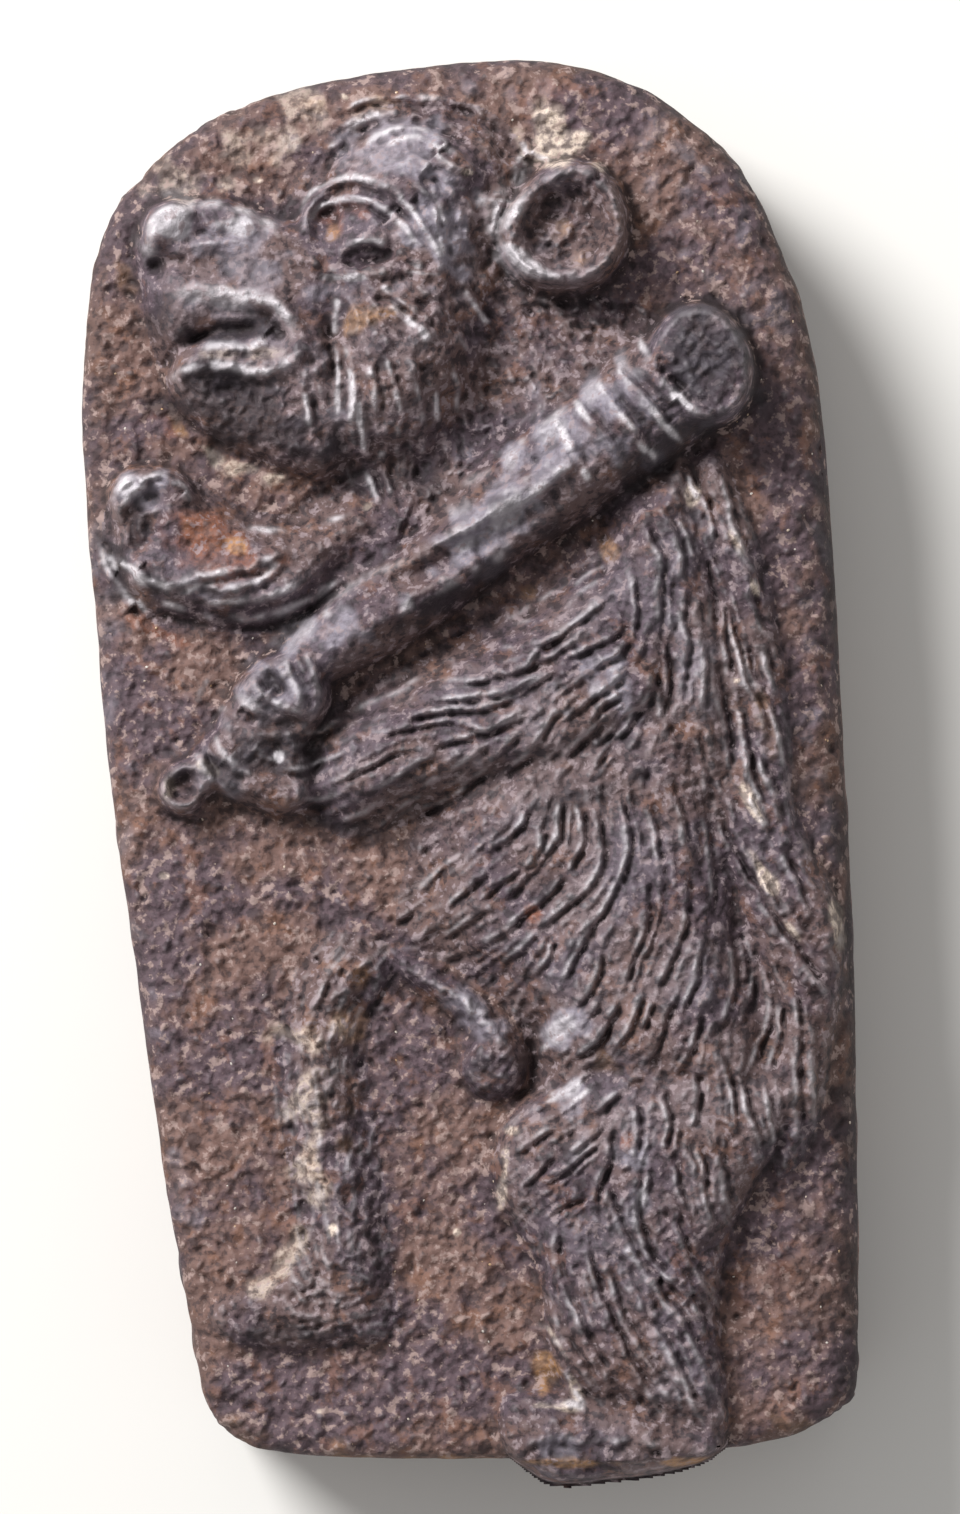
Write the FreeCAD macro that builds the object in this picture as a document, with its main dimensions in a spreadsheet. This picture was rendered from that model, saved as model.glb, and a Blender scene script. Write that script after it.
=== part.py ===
"""Stone seal matrix: a round-topped slab whose face carries an upright bear with a club, raised in relief.

The slab lies on its flat back. Z runs from the back to the carved face, Y from the foot of the slab to
its rounded top, and X to the right of the picture. The origin is the middle of the flat back.
All the carved forms belong to one block of stone. Each one is a closed solid that seats on the slab and
against its neighbours, so that the forms stay apart as named pieces.
"""
import FreeCAD
import Part
import Sketcher

import math
import os

DOCUMENT = FreeCAD.newDocument("SealMatrix")
VECTOR = FreeCAD.Vector
WHOLE_TURN = 360
QUARTER_TURN = 90
SPLINE_DEGREE = 3
# How near a level an edge has to lie to count as lying at it, in millimetres
LEVEL_TOLERANCE = 0.01

# Every driving dimension, in millimetres.
SIZES = {
    # The slab, and the rounding of its rims
    "slab_width": 30.4,
    "slab_length": 55.0,
    "slab_thickness": 8.8,
    "face_round": 1.7,
    "back_round": 1.0,
    # Head
    "skull_length": 16.6,
    "skull_width": 9.8,
    "skull_rise": 2.9,
    "neck_length": 14.3,
    "neck_width": 6.0,
    "neck_rise": 2.0,
    "muzzle_length": 6.8,
    "muzzle_width": 5.1,
    "muzzle_rise": 2.6,
    "jaw_length": 6.5,
    "jaw_width": 4.7,
    "jaw_rise": 2.3,
    "nose_length": 2.5,
    "nose_width": 2.0,
    "nose_rise": 2.9,
    "eye_length": 2.2,
    "eye_width": 1.5,
    "eye_height": 1.5,
    "eye_level": 2.4,
    "brow_radius": 3.05,
    "brow_width": 0.8,
    "brow_rise": 3.25,
    "brow_bevel": 0.25,
    "ear_radius": 2.55,
    "ear_rim_width": 0.8,
    "ear_rise": 2.6,
    "ear_dish_depth": 0.8,
    "ear_button_radius": 0.45,
    "ear_button_rise": 0.3,
    # Raised arm
    "raised_paw_length": 13.8,
    "raised_paw_width": 5.5,
    "raised_paw_rise": 2.1,
    "claw_length": 1.5,
    "claw_width": 1.1,
    "claw_rise": 1.7,
    # Club
    "club_length": 26.2,
    "club_radius": 2.45,
    "club_lift": 0.75,
    "club_ring_rise": 0.22,
    "knob_radius": 2.15,
    "knob_rise": 3.45,
    "knob_dish_radius": 1.5,
    "knob_dish_depth": 0.35,
    "butt_radius": 1.1,
    "butt_rise": 1.8,
    "butt_dish_radius": 0.65,
    "butt_dish_depth": 0.5,
    # Arm and paw that hold the club
    "forearm_length": 19.4,
    "forearm_width": 7.85,
    "forearm_rise": 2.6,
    "grip_length": 5.5,
    "grip_width": 4.1,
    "grip_rise": 2.7,
    "fingers_length": 3.6,
    "fingers_width": 2.3,
    "fingers_rise": 2.95,
    # Trunk
    "shoulder_length": 13.6,
    "shoulder_width": 4.6,
    "shoulder_rise": 2.2,
    "torso_length": 15.5,
    "torso_width": 13.7,
    "torso_rise": 2.25,
    "mane_length": 26.1,
    "mane_width": 4.0,
    "mane_rise": 1.3,
    "belly_length": 6.5,
    "belly_width": 2.35,
    "belly_rise": 1.2,
    # Legs
    "front_leg_length": 15.5,
    "front_leg_width": 3.8,
    "front_leg_rise": 1.1,
    "front_foot_length": 6.6,
    "front_foot_width": 2.4,
    "front_foot_rise": 0.95,
    "rear_leg_length": 15.9,
    "rear_leg_width": 11.4,
    "rear_leg_rise": 2.3,
    "rear_foot_length": 8.8,
    "rear_foot_width": 3.8,
    "rear_foot_rise": 1.8,
    # The furrows between the main locks of hair
    "furrow_radius": 0.55,
}

# The slab's outline as shares of its width and length from its middle, anticlockwise from the right side.
# They are the poles of one closed smooth curve.
SLAB_POLE_SHARES = [
    (0.507, -0.100),
    (0.481, 0.140),
    (0.456, 0.290),
    (0.400, 0.400),
    (0.280, 0.478),
    (0.090, 0.504),
    (-0.130, 0.497),
    (-0.360, 0.458),
    (-0.500, 0.382),
    (-0.512, 0.245),
    (-0.492, 0.080),
    (-0.458, -0.080),
    (-0.412, -0.240),
    (-0.378, -0.360),
    (-0.345, -0.478),
    (-0.275, -0.497),
    (-0.080, -0.502),
    (0.200, -0.500),
    (0.420, -0.492),
    (0.508, -0.468),
    (0.500, -0.390),
    (0.503, -0.250),
]

# Places on the face, from the slab's middle. A place adds steps, and each step is a share of one named
# size across the face and a share of one named size up it. The head, the raised paw and the trunk follow
# the slab, and every other form follows one of them.
HEAD_PLACE_SHARES = [(("slab_width", -0.092), ("slab_length", 0.325))]
REACH_PLACE_SHARES = [(("slab_width", -0.245), ("slab_length", 0.153))]
TRUNK_PLACE_SHARES = [(("slab_width", 0.199), ("slab_length", 0.000))]


def step(name, across_share, up_share):
    """One step of a place, as shares of the same named size across the face and up it."""
    return (name, across_share), (name, up_share)


CLUB_PLACE_SHARES = TRUNK_PLACE_SHARES + [step("torso_length", -0.455, 0.461)]
FRONT_LEG_PLACE_SHARES = TRUNK_PLACE_SHARES + [step("torso_length", -0.603, -0.394)]
REAR_LEG_PLACE_SHARES = TRUNK_PLACE_SHARES + [step("torso_length", 0.106, -0.724)]
MUZZLE_PLACE_SHARES = HEAD_PLACE_SHARES + [step("skull_length", -0.205, 0.099)]
PAW_PLACE_SHARES = REACH_PLACE_SHARES + [step("raised_paw_length", 0.500, 0.000)]
MIDDLE_CLAW_SHARES = PAW_PLACE_SHARES + [step("raised_paw_length", -0.857, 0.163)]

# Each smooth form: the steps to its start on the face, the turn of its length from the X axis in
# degrees, and its cross sections. A section is given by its place along the form as a share of the
# length, its shift to the left and its half width as shares of the width, and its height as a share of
# the rise.
FORMS = {
    "skull": {
        "start_shares": HEAD_PLACE_SHARES + [step("skull_length", 0.007, 0.500)],
        "turn": -91,
        "section_shares": [
            (0.00, 0.10, 0.16, 0.25),
            (0.08, 0.12, 0.37, 0.60),
            (0.21, 0.07, 0.46, 0.90),
            (0.38, 0.05, 0.46, 1.00),
            (0.57, 0.03, 0.46, 1.00),
            (0.74, 0.02, 0.43, 0.90),
            (0.88, -0.03, 0.34, 0.65),
            (1.00, -0.10, 0.15, 0.35),
        ],
    },
    "neck": {
        "start_shares": HEAD_PLACE_SHARES + [step("skull_length", -0.003, -0.570)],
        "turn": 44,
        "section_shares": [
            (0.00, 0.00, 0.14, 0.35),
            (0.20, 0.04, 0.38, 0.80),
            (0.50, 0.10, 0.50, 1.00),
            (0.80, 0.12, 0.46, 0.90),
            (1.00, 0.08, 0.18, 0.40),
        ],
    },
    "muzzle": {
        "start_shares": MUZZLE_PLACE_SHARES,
        "turn": 176,
        "section_shares": [
            (0.00, 0.00, 0.55, 0.95),
            (0.20, 0.00, 0.47, 0.90),
            (0.45, 0.03, 0.47, 0.85),
            (0.70, 0.00, 0.45, 0.80),
            (0.88, 0.00, 0.38, 0.65),
            (1.00, -0.04, 0.20, 0.35),
        ],
    },
    "lower_jaw": {
        "start_shares": HEAD_PLACE_SHARES + [step("skull_length", -0.186, -0.255)],
        "turn": 162,
        "section_shares": [
            (0.00, 0.00, 0.52, 1.00),
            (0.30, 0.07, 0.47, 0.95),
            (0.60, 0.11, 0.39, 0.76),
            (0.80, 0.11, 0.30, 0.57),
            (0.93, 0.09, 0.18, 0.35),
            (1.00, 0.03, 0.10, 0.18),
        ],
    },
    "raised_paw": {
        "start_shares": PAW_PLACE_SHARES,
        "turn": 181,
        "section_shares": [
            (0.00, 0.00, 0.21, 0.50),
            (0.20, -0.03, 0.30, 0.70),
            (0.45, 0.12, 0.39, 0.85),
            (0.65, 0.12, 0.42, 0.95),
            (0.82, 0.06, 0.43, 1.00),
            (0.93, 0.01, 0.33, 0.80),
            (1.00, 0.00, 0.15, 0.38),
        ],
    },
    "forearm": {
        "start_shares": CLUB_PLACE_SHARES + [step("club_length", -0.281, -0.311)],
        "turn": 20,
        "section_shares": [
            (0.00, 0.00, 0.10, 0.28),
            (0.10, -0.06, 0.25, 0.60),
            (0.22, -0.09, 0.34, 0.75),
            (0.36, -0.03, 0.42, 0.85),
            (0.59, -0.01, 0.51, 1.00),
            (0.75, 0.03, 0.55, 1.00),
            (0.86, 0.08, 0.52, 0.90),
            (0.95, 0.18, 0.36, 0.70),
            (1.00, 0.20, 0.12, 0.35),
        ],
    },
    "gripping_paw": {
        "start_shares": CLUB_PLACE_SHARES + [step("club_length", -0.186, -0.185)],
        "turn": -144,
        "section_shares": [
            (0.00, 0.00, 0.36, 0.50),
            (0.35, 0.08, 0.50, 0.72),
            (0.70, 0.06, 0.45, 0.65),
            (1.00, 0.00, 0.22, 0.33),
        ],
        "lift_share": 0.25,
    },
    "gripping_fingers": {
        "start_shares": CLUB_PLACE_SHARES + [step("club_length", -0.357, -0.217)],
        "turn": 28,
        "section_shares": [
            (0.00, 0.00, 0.30, 0.10),
            (0.17, 0.00, 0.50, 0.21),
            (0.33, -0.02, 0.41, 0.15),
            (0.50, 0.00, 0.50, 0.21),
            (0.67, 0.02, 0.41, 0.15),
            (0.83, 0.02, 0.48, 0.21),
            (1.00, 0.02, 0.30, 0.10),
        ],
        "lift_share": 0.79,
    },
    "shoulder": {
        "start_shares": TRUNK_PLACE_SHARES + [step("torso_length", 0.124, 0.770)],
        "turn": -83,
        "section_shares": [
            (0.00, 0.00, 0.30, 0.55),
            (0.19, 0.09, 0.42, 0.85),
            (0.42, 0.15, 0.48, 0.96),
            (0.71, 0.14, 0.48, 1.00),
            (1.00, 0.00, 0.38, 0.75),
        ],
    },
    "torso": {
        "start_shares": TRUNK_PLACE_SHARES + [step("torso_length", -0.135, 0.050)],
        "turn": -80,
        "section_shares": [
            (0.00, 0.00, 0.23, 0.70),
            (0.15, -0.02, 0.42, 0.90),
            (0.33, -0.07, 0.46, 1.00),
            (0.49, -0.07, 0.48, 1.00),
            (0.62, 0.02, 0.41, 1.00),
            (0.77, 0.08, 0.38, 0.95),
            (1.00, 0.04, 0.36, 0.80),
        ],
    },
    "back_mane": {
        "start_shares": TRUNK_PLACE_SHARES + [step("torso_length", 0.234, 0.770)],
        "turn": -80,
        "section_shares": [
            (0.05, -0.10, 0.20, 0.45),
            (0.09, -0.20, 0.37, 0.75),
            (0.16, -0.22, 0.49, 1.00),
            (0.28, -0.17, 0.49, 1.00),
            (0.40, -0.21, 0.48, 1.00),
            (0.53, -0.27, 0.47, 1.00),
            (0.63, -0.18, 0.48, 1.00),
            (0.76, -0.11, 0.50, 0.95),
            (0.86, -0.12, 0.42, 0.80),
            (1.00, -0.27, 0.20, 0.45),
        ],
    },
    "belly_ridge": {
        "start_shares": TRUNK_PLACE_SHARES + [step("torso_length", -0.575, -0.500)],
        "turn": -50,
        "section_shares": [
            (0.00, 0.00, 0.23, 0.40),
            (0.35, 0.26, 0.25, 0.45),
            (0.60, 0.48, 0.29, 0.50),
            (0.80, 0.35, 0.37, 0.68),
            (0.93, 0.10, 0.50, 0.95),
            (1.00, 0.00, 0.30, 0.50),
        ],
    },
    "front_leg": {
        "start_shares": FRONT_LEG_PLACE_SHARES,
        "turn": -97,
        "section_shares": [
            (0.00, 0.00, 0.31, 0.60),
            (0.10, -0.29, 0.50, 0.95),
            (0.31, -0.53, 0.39, 1.00),
            (0.54, -0.30, 0.40, 0.90),
            (0.75, -0.11, 0.38, 0.90),
            (1.00, 0.00, 0.46, 0.60),
        ],
    },
    "front_foot": {
        "start_shares": FRONT_LEG_PLACE_SHARES + [step("front_leg_length", -0.025, -1.018)],
        "turn": 178,
        "section_shares": [
            (0.00, 0.00, 0.36, 0.80),
            (0.30, 0.00, 0.50, 1.00),
            (0.70, 0.02, 0.40, 0.90),
            (1.00, 0.00, 0.16, 0.38),
        ],
    },
    "rear_leg": {
        "start_shares": REAR_LEG_PLACE_SHARES,
        "turn": -92,
        "section_shares": [
            (0.00, 0.00, 0.50, 0.75),
            (0.14, 0.00, 0.47, 0.90),
            (0.26, -0.10, 0.47, 1.00),
            (0.38, -0.13, 0.42, 1.00),
            (0.51, -0.11, 0.33, 0.95),
            (0.63, -0.09, 0.30, 0.90),
            (0.75, -0.05, 0.28, 0.85),
            (0.88, 0.00, 0.26, 0.80),
            (1.00, 0.01, 0.21, 0.60),
        ],
    },
    "rear_foot": {
        "start_shares": REAR_LEG_PLACE_SHARES + [step("rear_leg_length", 0.135, -0.955)],
        "turn": 179,
        "section_shares": [
            (0.00, 0.00, 0.29, 0.55),
            (0.25, 0.00, 0.44, 0.85),
            (0.50, 0.04, 0.50, 1.00),
            (0.75, 0.12, 0.50, 1.00),
            (0.92, 0.05, 0.37, 0.70),
            (1.00, 0.00, 0.17, 0.30),
        ],
    },
}

# The main locks of hair are parted by furrows that lie as arcs round one centre. Each arc has its radius as a
# share of the form's length, its lowest level as a share of the form's rise, and the turns of its two ends
# in degrees.
COMBS = {
    "forearm": {
        "centre_shares": FORMS["forearm"]["start_shares"] + [step("forearm_length", 0.151, 0.616)],
        "arc_shares": [(0.448, 0.56), (0.613, 0.74), (0.778, 0.62)],
        "arc_turns": [(-80, -38), (-76, -30), (-50, -20)],
    },
    "torso": {
        "centre_shares": TRUNK_PLACE_SHARES + [step("torso_length", -0.500, -0.254)],
        "arc_shares": [(0.277, 0.76), (0.465, 0.78), (0.652, 0.62), (0.839, 0.60)],
        "arc_turns": [(-55, 5), (-55, 12), (-50, 5), (-45, -20)],
    },
}

# The size names of a form whose cells are called otherwise than the form itself.
SIZE_WORDS = {
    "lower_jaw": "jaw",
    "gripping_paw": "grip",
    "gripping_fingers": "fingers",
    "back_mane": "mane",
    "belly_ridge": "belly",
}

NOSE_PLACE_SHARES = MUZZLE_PLACE_SHARES + [step("muzzle_length", -0.833, 0.186)]
NOSE_TURN = 35
EYE_PLACE_SHARES = HEAD_PLACE_SHARES + [step("skull_length", -0.070, 0.143)]
EYE_TURN = -5
BROW_PLACE_SHARES = HEAD_PLACE_SHARES + [step("skull_length", -0.060, 0.093)]
BROW_END_TURNS = (12, 150)
EAR_PLACE_SHARES = HEAD_PLACE_SHARES + [step("skull_length", 0.398, 0.169)]
CLAW_PLACE_SHARES = [
    MIDDLE_CLAW_SHARES + [step("claw_width", -0.80, -0.25)],
    MIDDLE_CLAW_SHARES,
    MIDDLE_CLAW_SHARES + [step("claw_width", 0.90, -0.15)],
]
CLAW_TURNS = [60, 75, 95]
KNOB_PLACE_SHARES = CLUB_PLACE_SHARES + [step("club_length", 0.389, 0.317)]
BUTT_PLACE_SHARES = CLUB_PLACE_SHARES + [step("club_length", -0.390, -0.315)]

CLUB_TURN = 39
# The club's outline from its butt: the share of its length, and the radius as a share of club_radius.
CLUB_PROFILE_SHARES = [
    (0.035, 0.36),
    (0.080, 0.42),
    (0.140, 0.47),
    (0.270, 0.52),
    (0.520, 0.72),
    (0.700, 0.82),
    (0.765, 0.88),
]
CLUB_RING_SHARES = [0.785, 0.825, 0.885, 0.930]
CLUB_RING_HALF_SHARE = 0.014
CLUB_END_SHARE = 0.955
CLUB_END_RADIUS_SHARE = 0.9

# Turned outlines, from the axis outwards and back to it. Each point gives its distance from the axis and
# its height above the face, each as a sum of shares of the form's own sizes.
EAR_OUTLINE_SHARES = [
    ([], []),
    ([(1, "radius")], []),
    ([(0.97, "radius")], [(0.45, "rise")]),
    ([(0.90, "radius")], [(0.80, "rise")]),
    ([(0.90, "radius"), (-0.4, "rim_width")], [(1, "rise")]),
    ([(0.90, "radius"), (-0.8, "rim_width")], [(0.95, "rise")]),
    ([(0.90, "radius"), (-1.3, "rim_width")], [(1, "rise"), (-1, "dish_depth")]),
    ([(1, "button_radius")], [(1, "rise"), (-1, "dish_depth")]),
    ([(0.6, "button_radius")], [(1, "rise"), (-1, "dish_depth"), (1, "button_rise")]),
    ([], [(1, "rise"), (-1, "dish_depth"), (1, "button_rise")]),
]
DISHED_END_OUTLINE_SHARES = [
    ([], []),
    ([(1, "radius")], []),
    ([(1, "radius")], [(0.60, "rise")]),
    ([(0.96, "radius")], [(0.85, "rise")]),
    ([(0.85, "radius")], [(1, "rise")]),
    ([(1, "dish_radius")], [(1, "rise")]),
    ([(0.7, "dish_radius")], [(1, "rise"), (-1, "dish_depth")]),
    ([], [(1, "rise"), (-1, "dish_depth")]),
]

# Which forms a form gives way to, besides the slab.
CUT_BY = {
    "skull": ["ear", "club_shaft"],
    "neck": ["skull", "ear", "club_shaft", "club_head"],
    "muzzle": ["skull", "nose"],
    "lower_jaw": ["skull", "muzzle"],
    "eye": ["skull"],
    "brow": ["skull", "muzzle"],
    "raised_paw": ["club_shaft", "skull", "neck"],
    "raised_claws": ["raised_paw"],
    "club_shaft": ["club_head", "club_butt"],
    "forearm": ["club_shaft"],
    "gripping_paw": ["forearm", "club_shaft", "club_butt"],
    "gripping_fingers": ["gripping_paw", "club_shaft"],
    "shoulder": ["forearm", "club_shaft", "club_head"],
    "torso": ["forearm", "belly_ridge", "shoulder"],
    "rear_leg": ["torso", "belly_ridge"],
    "rear_foot": ["rear_leg"],
    "back_mane": ["shoulder", "torso", "rear_leg"],
    "front_leg": ["torso", "belly_ridge", "front_foot"],
}


def make_sheet():
    """The spreadsheet that holds the driving dimensions, one named cell each."""
    sheet = DOCUMENT.addObject("Spreadsheet::Sheet", "Sizes")
    for row, (name, value) in enumerate(SIZES.items(), start=1):
        sheet.set(f"A{row}", name)
        sheet.set(f"B{row}", str(value))
        sheet.setAlias(f"B{row}", name)
    DOCUMENT.recompute()
    return sheet


def product(share, name):
    """The expression for a share of one named size, in millimetres."""
    return f"{share} * Sizes.{name} * 1 mm"


def spot(steps):
    """The expressions of a place on the face, across and up from the slab's middle."""
    across = " + ".join(product(share, name) for (name, share), _ in steps)
    up = " + ".join(product(share, name) for _, (name, share) in steps)
    return across, up


def place(thing, steps, height="Sizes.slab_thickness * 1 mm"):
    """Binds where a form stands: its place on the face, and its height above the back."""
    across, up = spot(steps)
    thing.setExpression("Placement.Base.x", across)
    thing.setExpression("Placement.Base.y", up)
    thing.setExpression("Placement.Base.z", height)


def origin_plane(body, role):
    """The plane of a body's own origin that has the given role."""
    planes = [feature for feature in body.Origin.OriginFeatures if feature.Role == role]
    return planes[0]


def new_body(label, plane_role):
    """A body with one empty sketch on a plane of its origin."""
    body = DOCUMENT.addObject("PartDesign::Body", label + "_body")
    sketch = body.newObject("Sketcher::SketchObject", label + "_sketch")
    sketch.AttachmentSupport = [(origin_plane(body, plane_role), "")]
    sketch.MapMode = "FlatFace"
    return body, sketch


def pin(sketch, geometry, point, along, up):
    """Fixes a point of a sketch. Both distances are pairs of a signed number and its expression."""
    for kind, (value, expression) in (("DistanceX", along), ("DistanceY", up)):
        if value < 0:
            ends = (geometry, point, -1, 1)
        else:
            ends = (-1, 1, geometry, point)
        index = sketch.addConstraint(Sketcher.Constraint(kind, *ends, abs(value)))
        sketch.setExpression(f"Constraints[{index}]", expression)


def share_of(share, name):
    """A sketch distance that is a share of one named size: its signed value and its expression."""
    return share * SIZES[name], product(abs(share), name)


def sum_of(parts, word):
    """A sketch distance that adds shares of the sizes of one form. The sum is never below zero."""
    value = sum(share * SIZES[f"{word}_{size}"] for share, size in parts)
    expression = " + ".join(product(share, f"{word}_{size}") for share, size in parts)
    return value, expression or "0 mm"


def make_slab():
    """The block: its outline drawn as one closed curve, padded, with both rims rounded."""
    body, sketch = new_body("slab", "XY_Plane")
    poles = []
    for across_share, up_share in SLAB_POLE_SHARES:
        poles.append(VECTOR(across_share * SIZES["slab_width"], up_share * SIZES["slab_length"], 0))
    count = len(poles)
    curve = Part.BSplineCurve()
    curve.buildFromPolesMultsKnots(poles, [1] * (count + 1), list(range(count + 1)), True, SPLINE_DEGREE)
    sketch.addGeometry(curve, False)
    sketch.exposeInternalGeometry(0)
    for index, (across_share, up_share) in enumerate(SLAB_POLE_SHARES, start=1):
        pin(sketch, index, 3, share_of(across_share, "slab_width"), share_of(up_share, "slab_length"))
    pad = body.newObject("PartDesign::Pad", "slab_pad")
    pad.Profile = sketch
    pad.setExpression("Length", "Sizes.slab_thickness * 1 mm")
    DOCUMENT.recompute()
    front_rim = body.newObject("PartDesign::Fillet", "slab_front_rim")
    front_rim.Base = (pad, flat_edges(pad.Shape, SIZES["slab_thickness"]))
    front_rim.setExpression("Radius", "Sizes.face_round * 1 mm")
    DOCUMENT.recompute()
    back_rim = body.newObject("PartDesign::Fillet", "slab_back_rim")
    back_rim.Base = (front_rim, flat_edges(front_rim.Shape, 0))
    back_rim.setExpression("Radius", "Sizes.back_round * 1 mm")
    DOCUMENT.recompute()
    return body


def flat_edges(shape, height):
    """The names of the edges that lie level at the given height."""
    names = []
    for index, edge in enumerate(shape.Edges, start=1):
        box = edge.BoundBox
        if max(abs(box.ZMin - height), abs(box.ZMax - height)) < LEVEL_TOLERANCE:
            names.append(f"Edge{index}")
    return names


def make_form(name):
    """One smooth carved form: a loft through upright ellipses along its length."""
    form = FORMS[name]
    word = SIZE_WORDS.get(name, name)
    across, up = spot(form["start_shares"])
    lift = product(form.get("lift_share", 0), word + "_rise")
    turn = FreeCAD.Rotation(VECTOR(0, 0, 1), form["turn"])
    direction = turn.multVec(VECTOR(1, 0, 0))
    left = turn.multVec(VECTOR(0, 1, 0))
    sections = []
    for along_share, side_share, half_share, rise_share in form["section_shares"]:
        ellipse = DOCUMENT.addObject("Part::Ellipse", name + "_section")
        ellipse.setExpression("MajorRadius", product(half_share, word + "_width"))
        ellipse.setExpression("MinorRadius", product(rise_share, word + "_rise"))
        ellipse.Placement.Rotation = FreeCAD.Rotation(left, VECTOR(0, 0, 1), direction, "XYZ")
        ellipse.setExpression(
            "Placement.Base.x",
            f"{across}"
            f" + {product(direction.x * along_share, word + '_length')}"
            f" + {product(left.x * side_share, word + '_width')}",
        )
        ellipse.setExpression(
            "Placement.Base.y",
            f"{up}"
            f" + {product(direction.y * along_share, word + '_length')}"
            f" + {product(left.y * side_share, word + '_width')}",
        )
        ellipse.setExpression("Placement.Base.z", f"Sizes.slab_thickness * 1 mm + {lift}")
        sections.append(ellipse)
    loft = DOCUMENT.addObject("Part::Loft", name + "_form")
    loft.Sections = sections
    loft.Solid = True
    loft.MaxDegree = SPLINE_DEGREE
    return loft


def make_ellipsoid(name, word, steps, turn, level, half_height):
    """One egg-shaped form, named by its sizes, with its middle at the given level above the face."""
    egg = DOCUMENT.addObject("Part::Ellipsoid", name)
    egg.Angle1 = -QUARTER_TURN
    egg.setExpression("Radius2", product(0.5, word + "_length"))
    egg.setExpression("Radius3", product(0.5, word + "_width"))
    egg.setExpression("Radius1", half_height)
    egg.Placement.Rotation = FreeCAD.Rotation(VECTOR(0, 0, 1), turn)
    place(egg, steps, f"Sizes.slab_thickness * 1 mm + {level}")
    return egg


def make_nose():
    """The nose pad, an egg shape that stands on the face at the tip of the muzzle."""
    return make_ellipsoid("nose_form", "nose", NOSE_PLACE_SHARES, NOSE_TURN, "0 mm", "Sizes.nose_rise * 1 mm")


def make_eye():
    """The eyeball, set into the side of the skull."""
    level = "Sizes.eye_level * 1 mm"
    half_height = "Sizes.eye_height * 0.5 mm"
    return make_ellipsoid("eye_form", "eye", EYE_PLACE_SHARES, EYE_TURN, level, half_height)


def make_claws():
    """The claws of the raised paw, three egg shapes side by side."""
    claws = []
    for steps, turn in zip(CLAW_PLACE_SHARES, CLAW_TURNS):
        claws.append(make_ellipsoid("claw_form", "claw", steps, turn, "0 mm", "Sizes.claw_rise * 1 mm"))
    return fused("claws_form", claws)


def fused(name, things):
    """Several solids joined into one."""
    joined = DOCUMENT.addObject("Part::MultiFuse", name)
    joined.Shapes = things
    return joined


def make_brow():
    """The brow, an arched band over the eye, padded from the face with its upper rims bevelled."""
    body, sketch = new_body("brow", "XY_Plane")
    first_turn, last_turn = BROW_END_TURNS
    inner = SIZES["brow_radius"] - SIZES["brow_width"] / 2
    outer = SIZES["brow_radius"] + SIZES["brow_width"] / 2
    start = VECTOR(1, 0, 0)
    axis = VECTOR(0, 0, 1)
    first = FreeCAD.Rotation(axis, first_turn).multVec(start)
    last = FreeCAD.Rotation(axis, last_turn).multVec(start)
    middle = FreeCAD.Rotation(axis, (first_turn + last_turn) / 2).multVec(start)
    sketch.addGeometry(Part.Arc(first * inner, middle * inner, last * inner), False)
    sketch.addGeometry(Part.Arc(first * outer, middle * outer, last * outer), False)
    sketch.addGeometry(Part.LineSegment(first * inner, first * outer), False)
    sketch.addGeometry(Part.LineSegment(last * inner, last * outer), False)
    for line, arc_point in ((2, 1), (3, 2)):
        sketch.addConstraint(Sketcher.Constraint("Coincident", line, 1, 0, arc_point))
        sketch.addConstraint(Sketcher.Constraint("Coincident", line, 2, 1, arc_point))
    for arc in (0, 1):
        sketch.addConstraint(Sketcher.Constraint("Coincident", arc, 3, -1, 1))
    for arc, radius, sign in ((0, inner, "-"), (1, outer, "+")):
        index = sketch.addConstraint(Sketcher.Constraint("Radius", arc, radius))
        sketch.setExpression(f"Constraints[{index}]", f"(Sizes.brow_radius {sign} Sizes.brow_width / 2) * 1 mm")
    for line, turn in ((2, first_turn), (3, last_turn)):
        sketch.addConstraint(Sketcher.Constraint("Angle", line, math.radians(turn)))
    pad = body.newObject("PartDesign::Pad", "brow_pad")
    pad.Profile = sketch
    pad.setExpression("Length", "Sizes.brow_rise * 1 mm")
    DOCUMENT.recompute()
    rims = body.newObject("PartDesign::Chamfer", "brow_rims")
    rims.Base = (pad, flat_edges(pad.Shape, SIZES["brow_rise"]))
    rims.setExpression("Size", "Sizes.brow_bevel * 1 mm")
    place(body, BROW_PLACE_SHARES)
    return body


def revolved(word, outline, plane_role, axis):
    """A body turned from a closed outline of straight runs. Its points add shares of the form's sizes."""
    body, sketch = new_body(word, plane_role)
    points = [(sum_of(along, word), sum_of(up, word)) for along, up in outline]
    count = len(points)
    for index in range(count):
        here = VECTOR(points[index][0][0], points[index][1][0], 0)
        there = VECTOR(points[(index + 1) % count][0][0], points[(index + 1) % count][1][0], 0)
        sketch.addGeometry(Part.LineSegment(here, there), False)
    for index in range(count):
        sketch.addConstraint(Sketcher.Constraint("Coincident", index, 2, (index + 1) % count, 1))
    for index, (along, up) in enumerate(points):
        pin(sketch, index, 1, along, up)
    turned = body.newObject("PartDesign::Revolution", word + "_turned")
    turned.Profile = sketch
    turned.ReferenceAxis = (sketch, [axis])
    turned.Angle = WHOLE_TURN
    return body


def make_ear():
    """The ear, a round cup with a bevelled rim and a small button in the middle."""
    body = revolved("ear", EAR_OUTLINE_SHARES, "XZ_Plane", "V_Axis")
    place(body, EAR_PLACE_SHARES)
    return body


def make_dished_end(word, steps):
    """A round end of the club that faces up: a domed knob with a shallow dish."""
    body = revolved(word, DISHED_END_OUTLINE_SHARES, "XZ_Plane", "V_Axis")
    place(body, steps)
    return body


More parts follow.
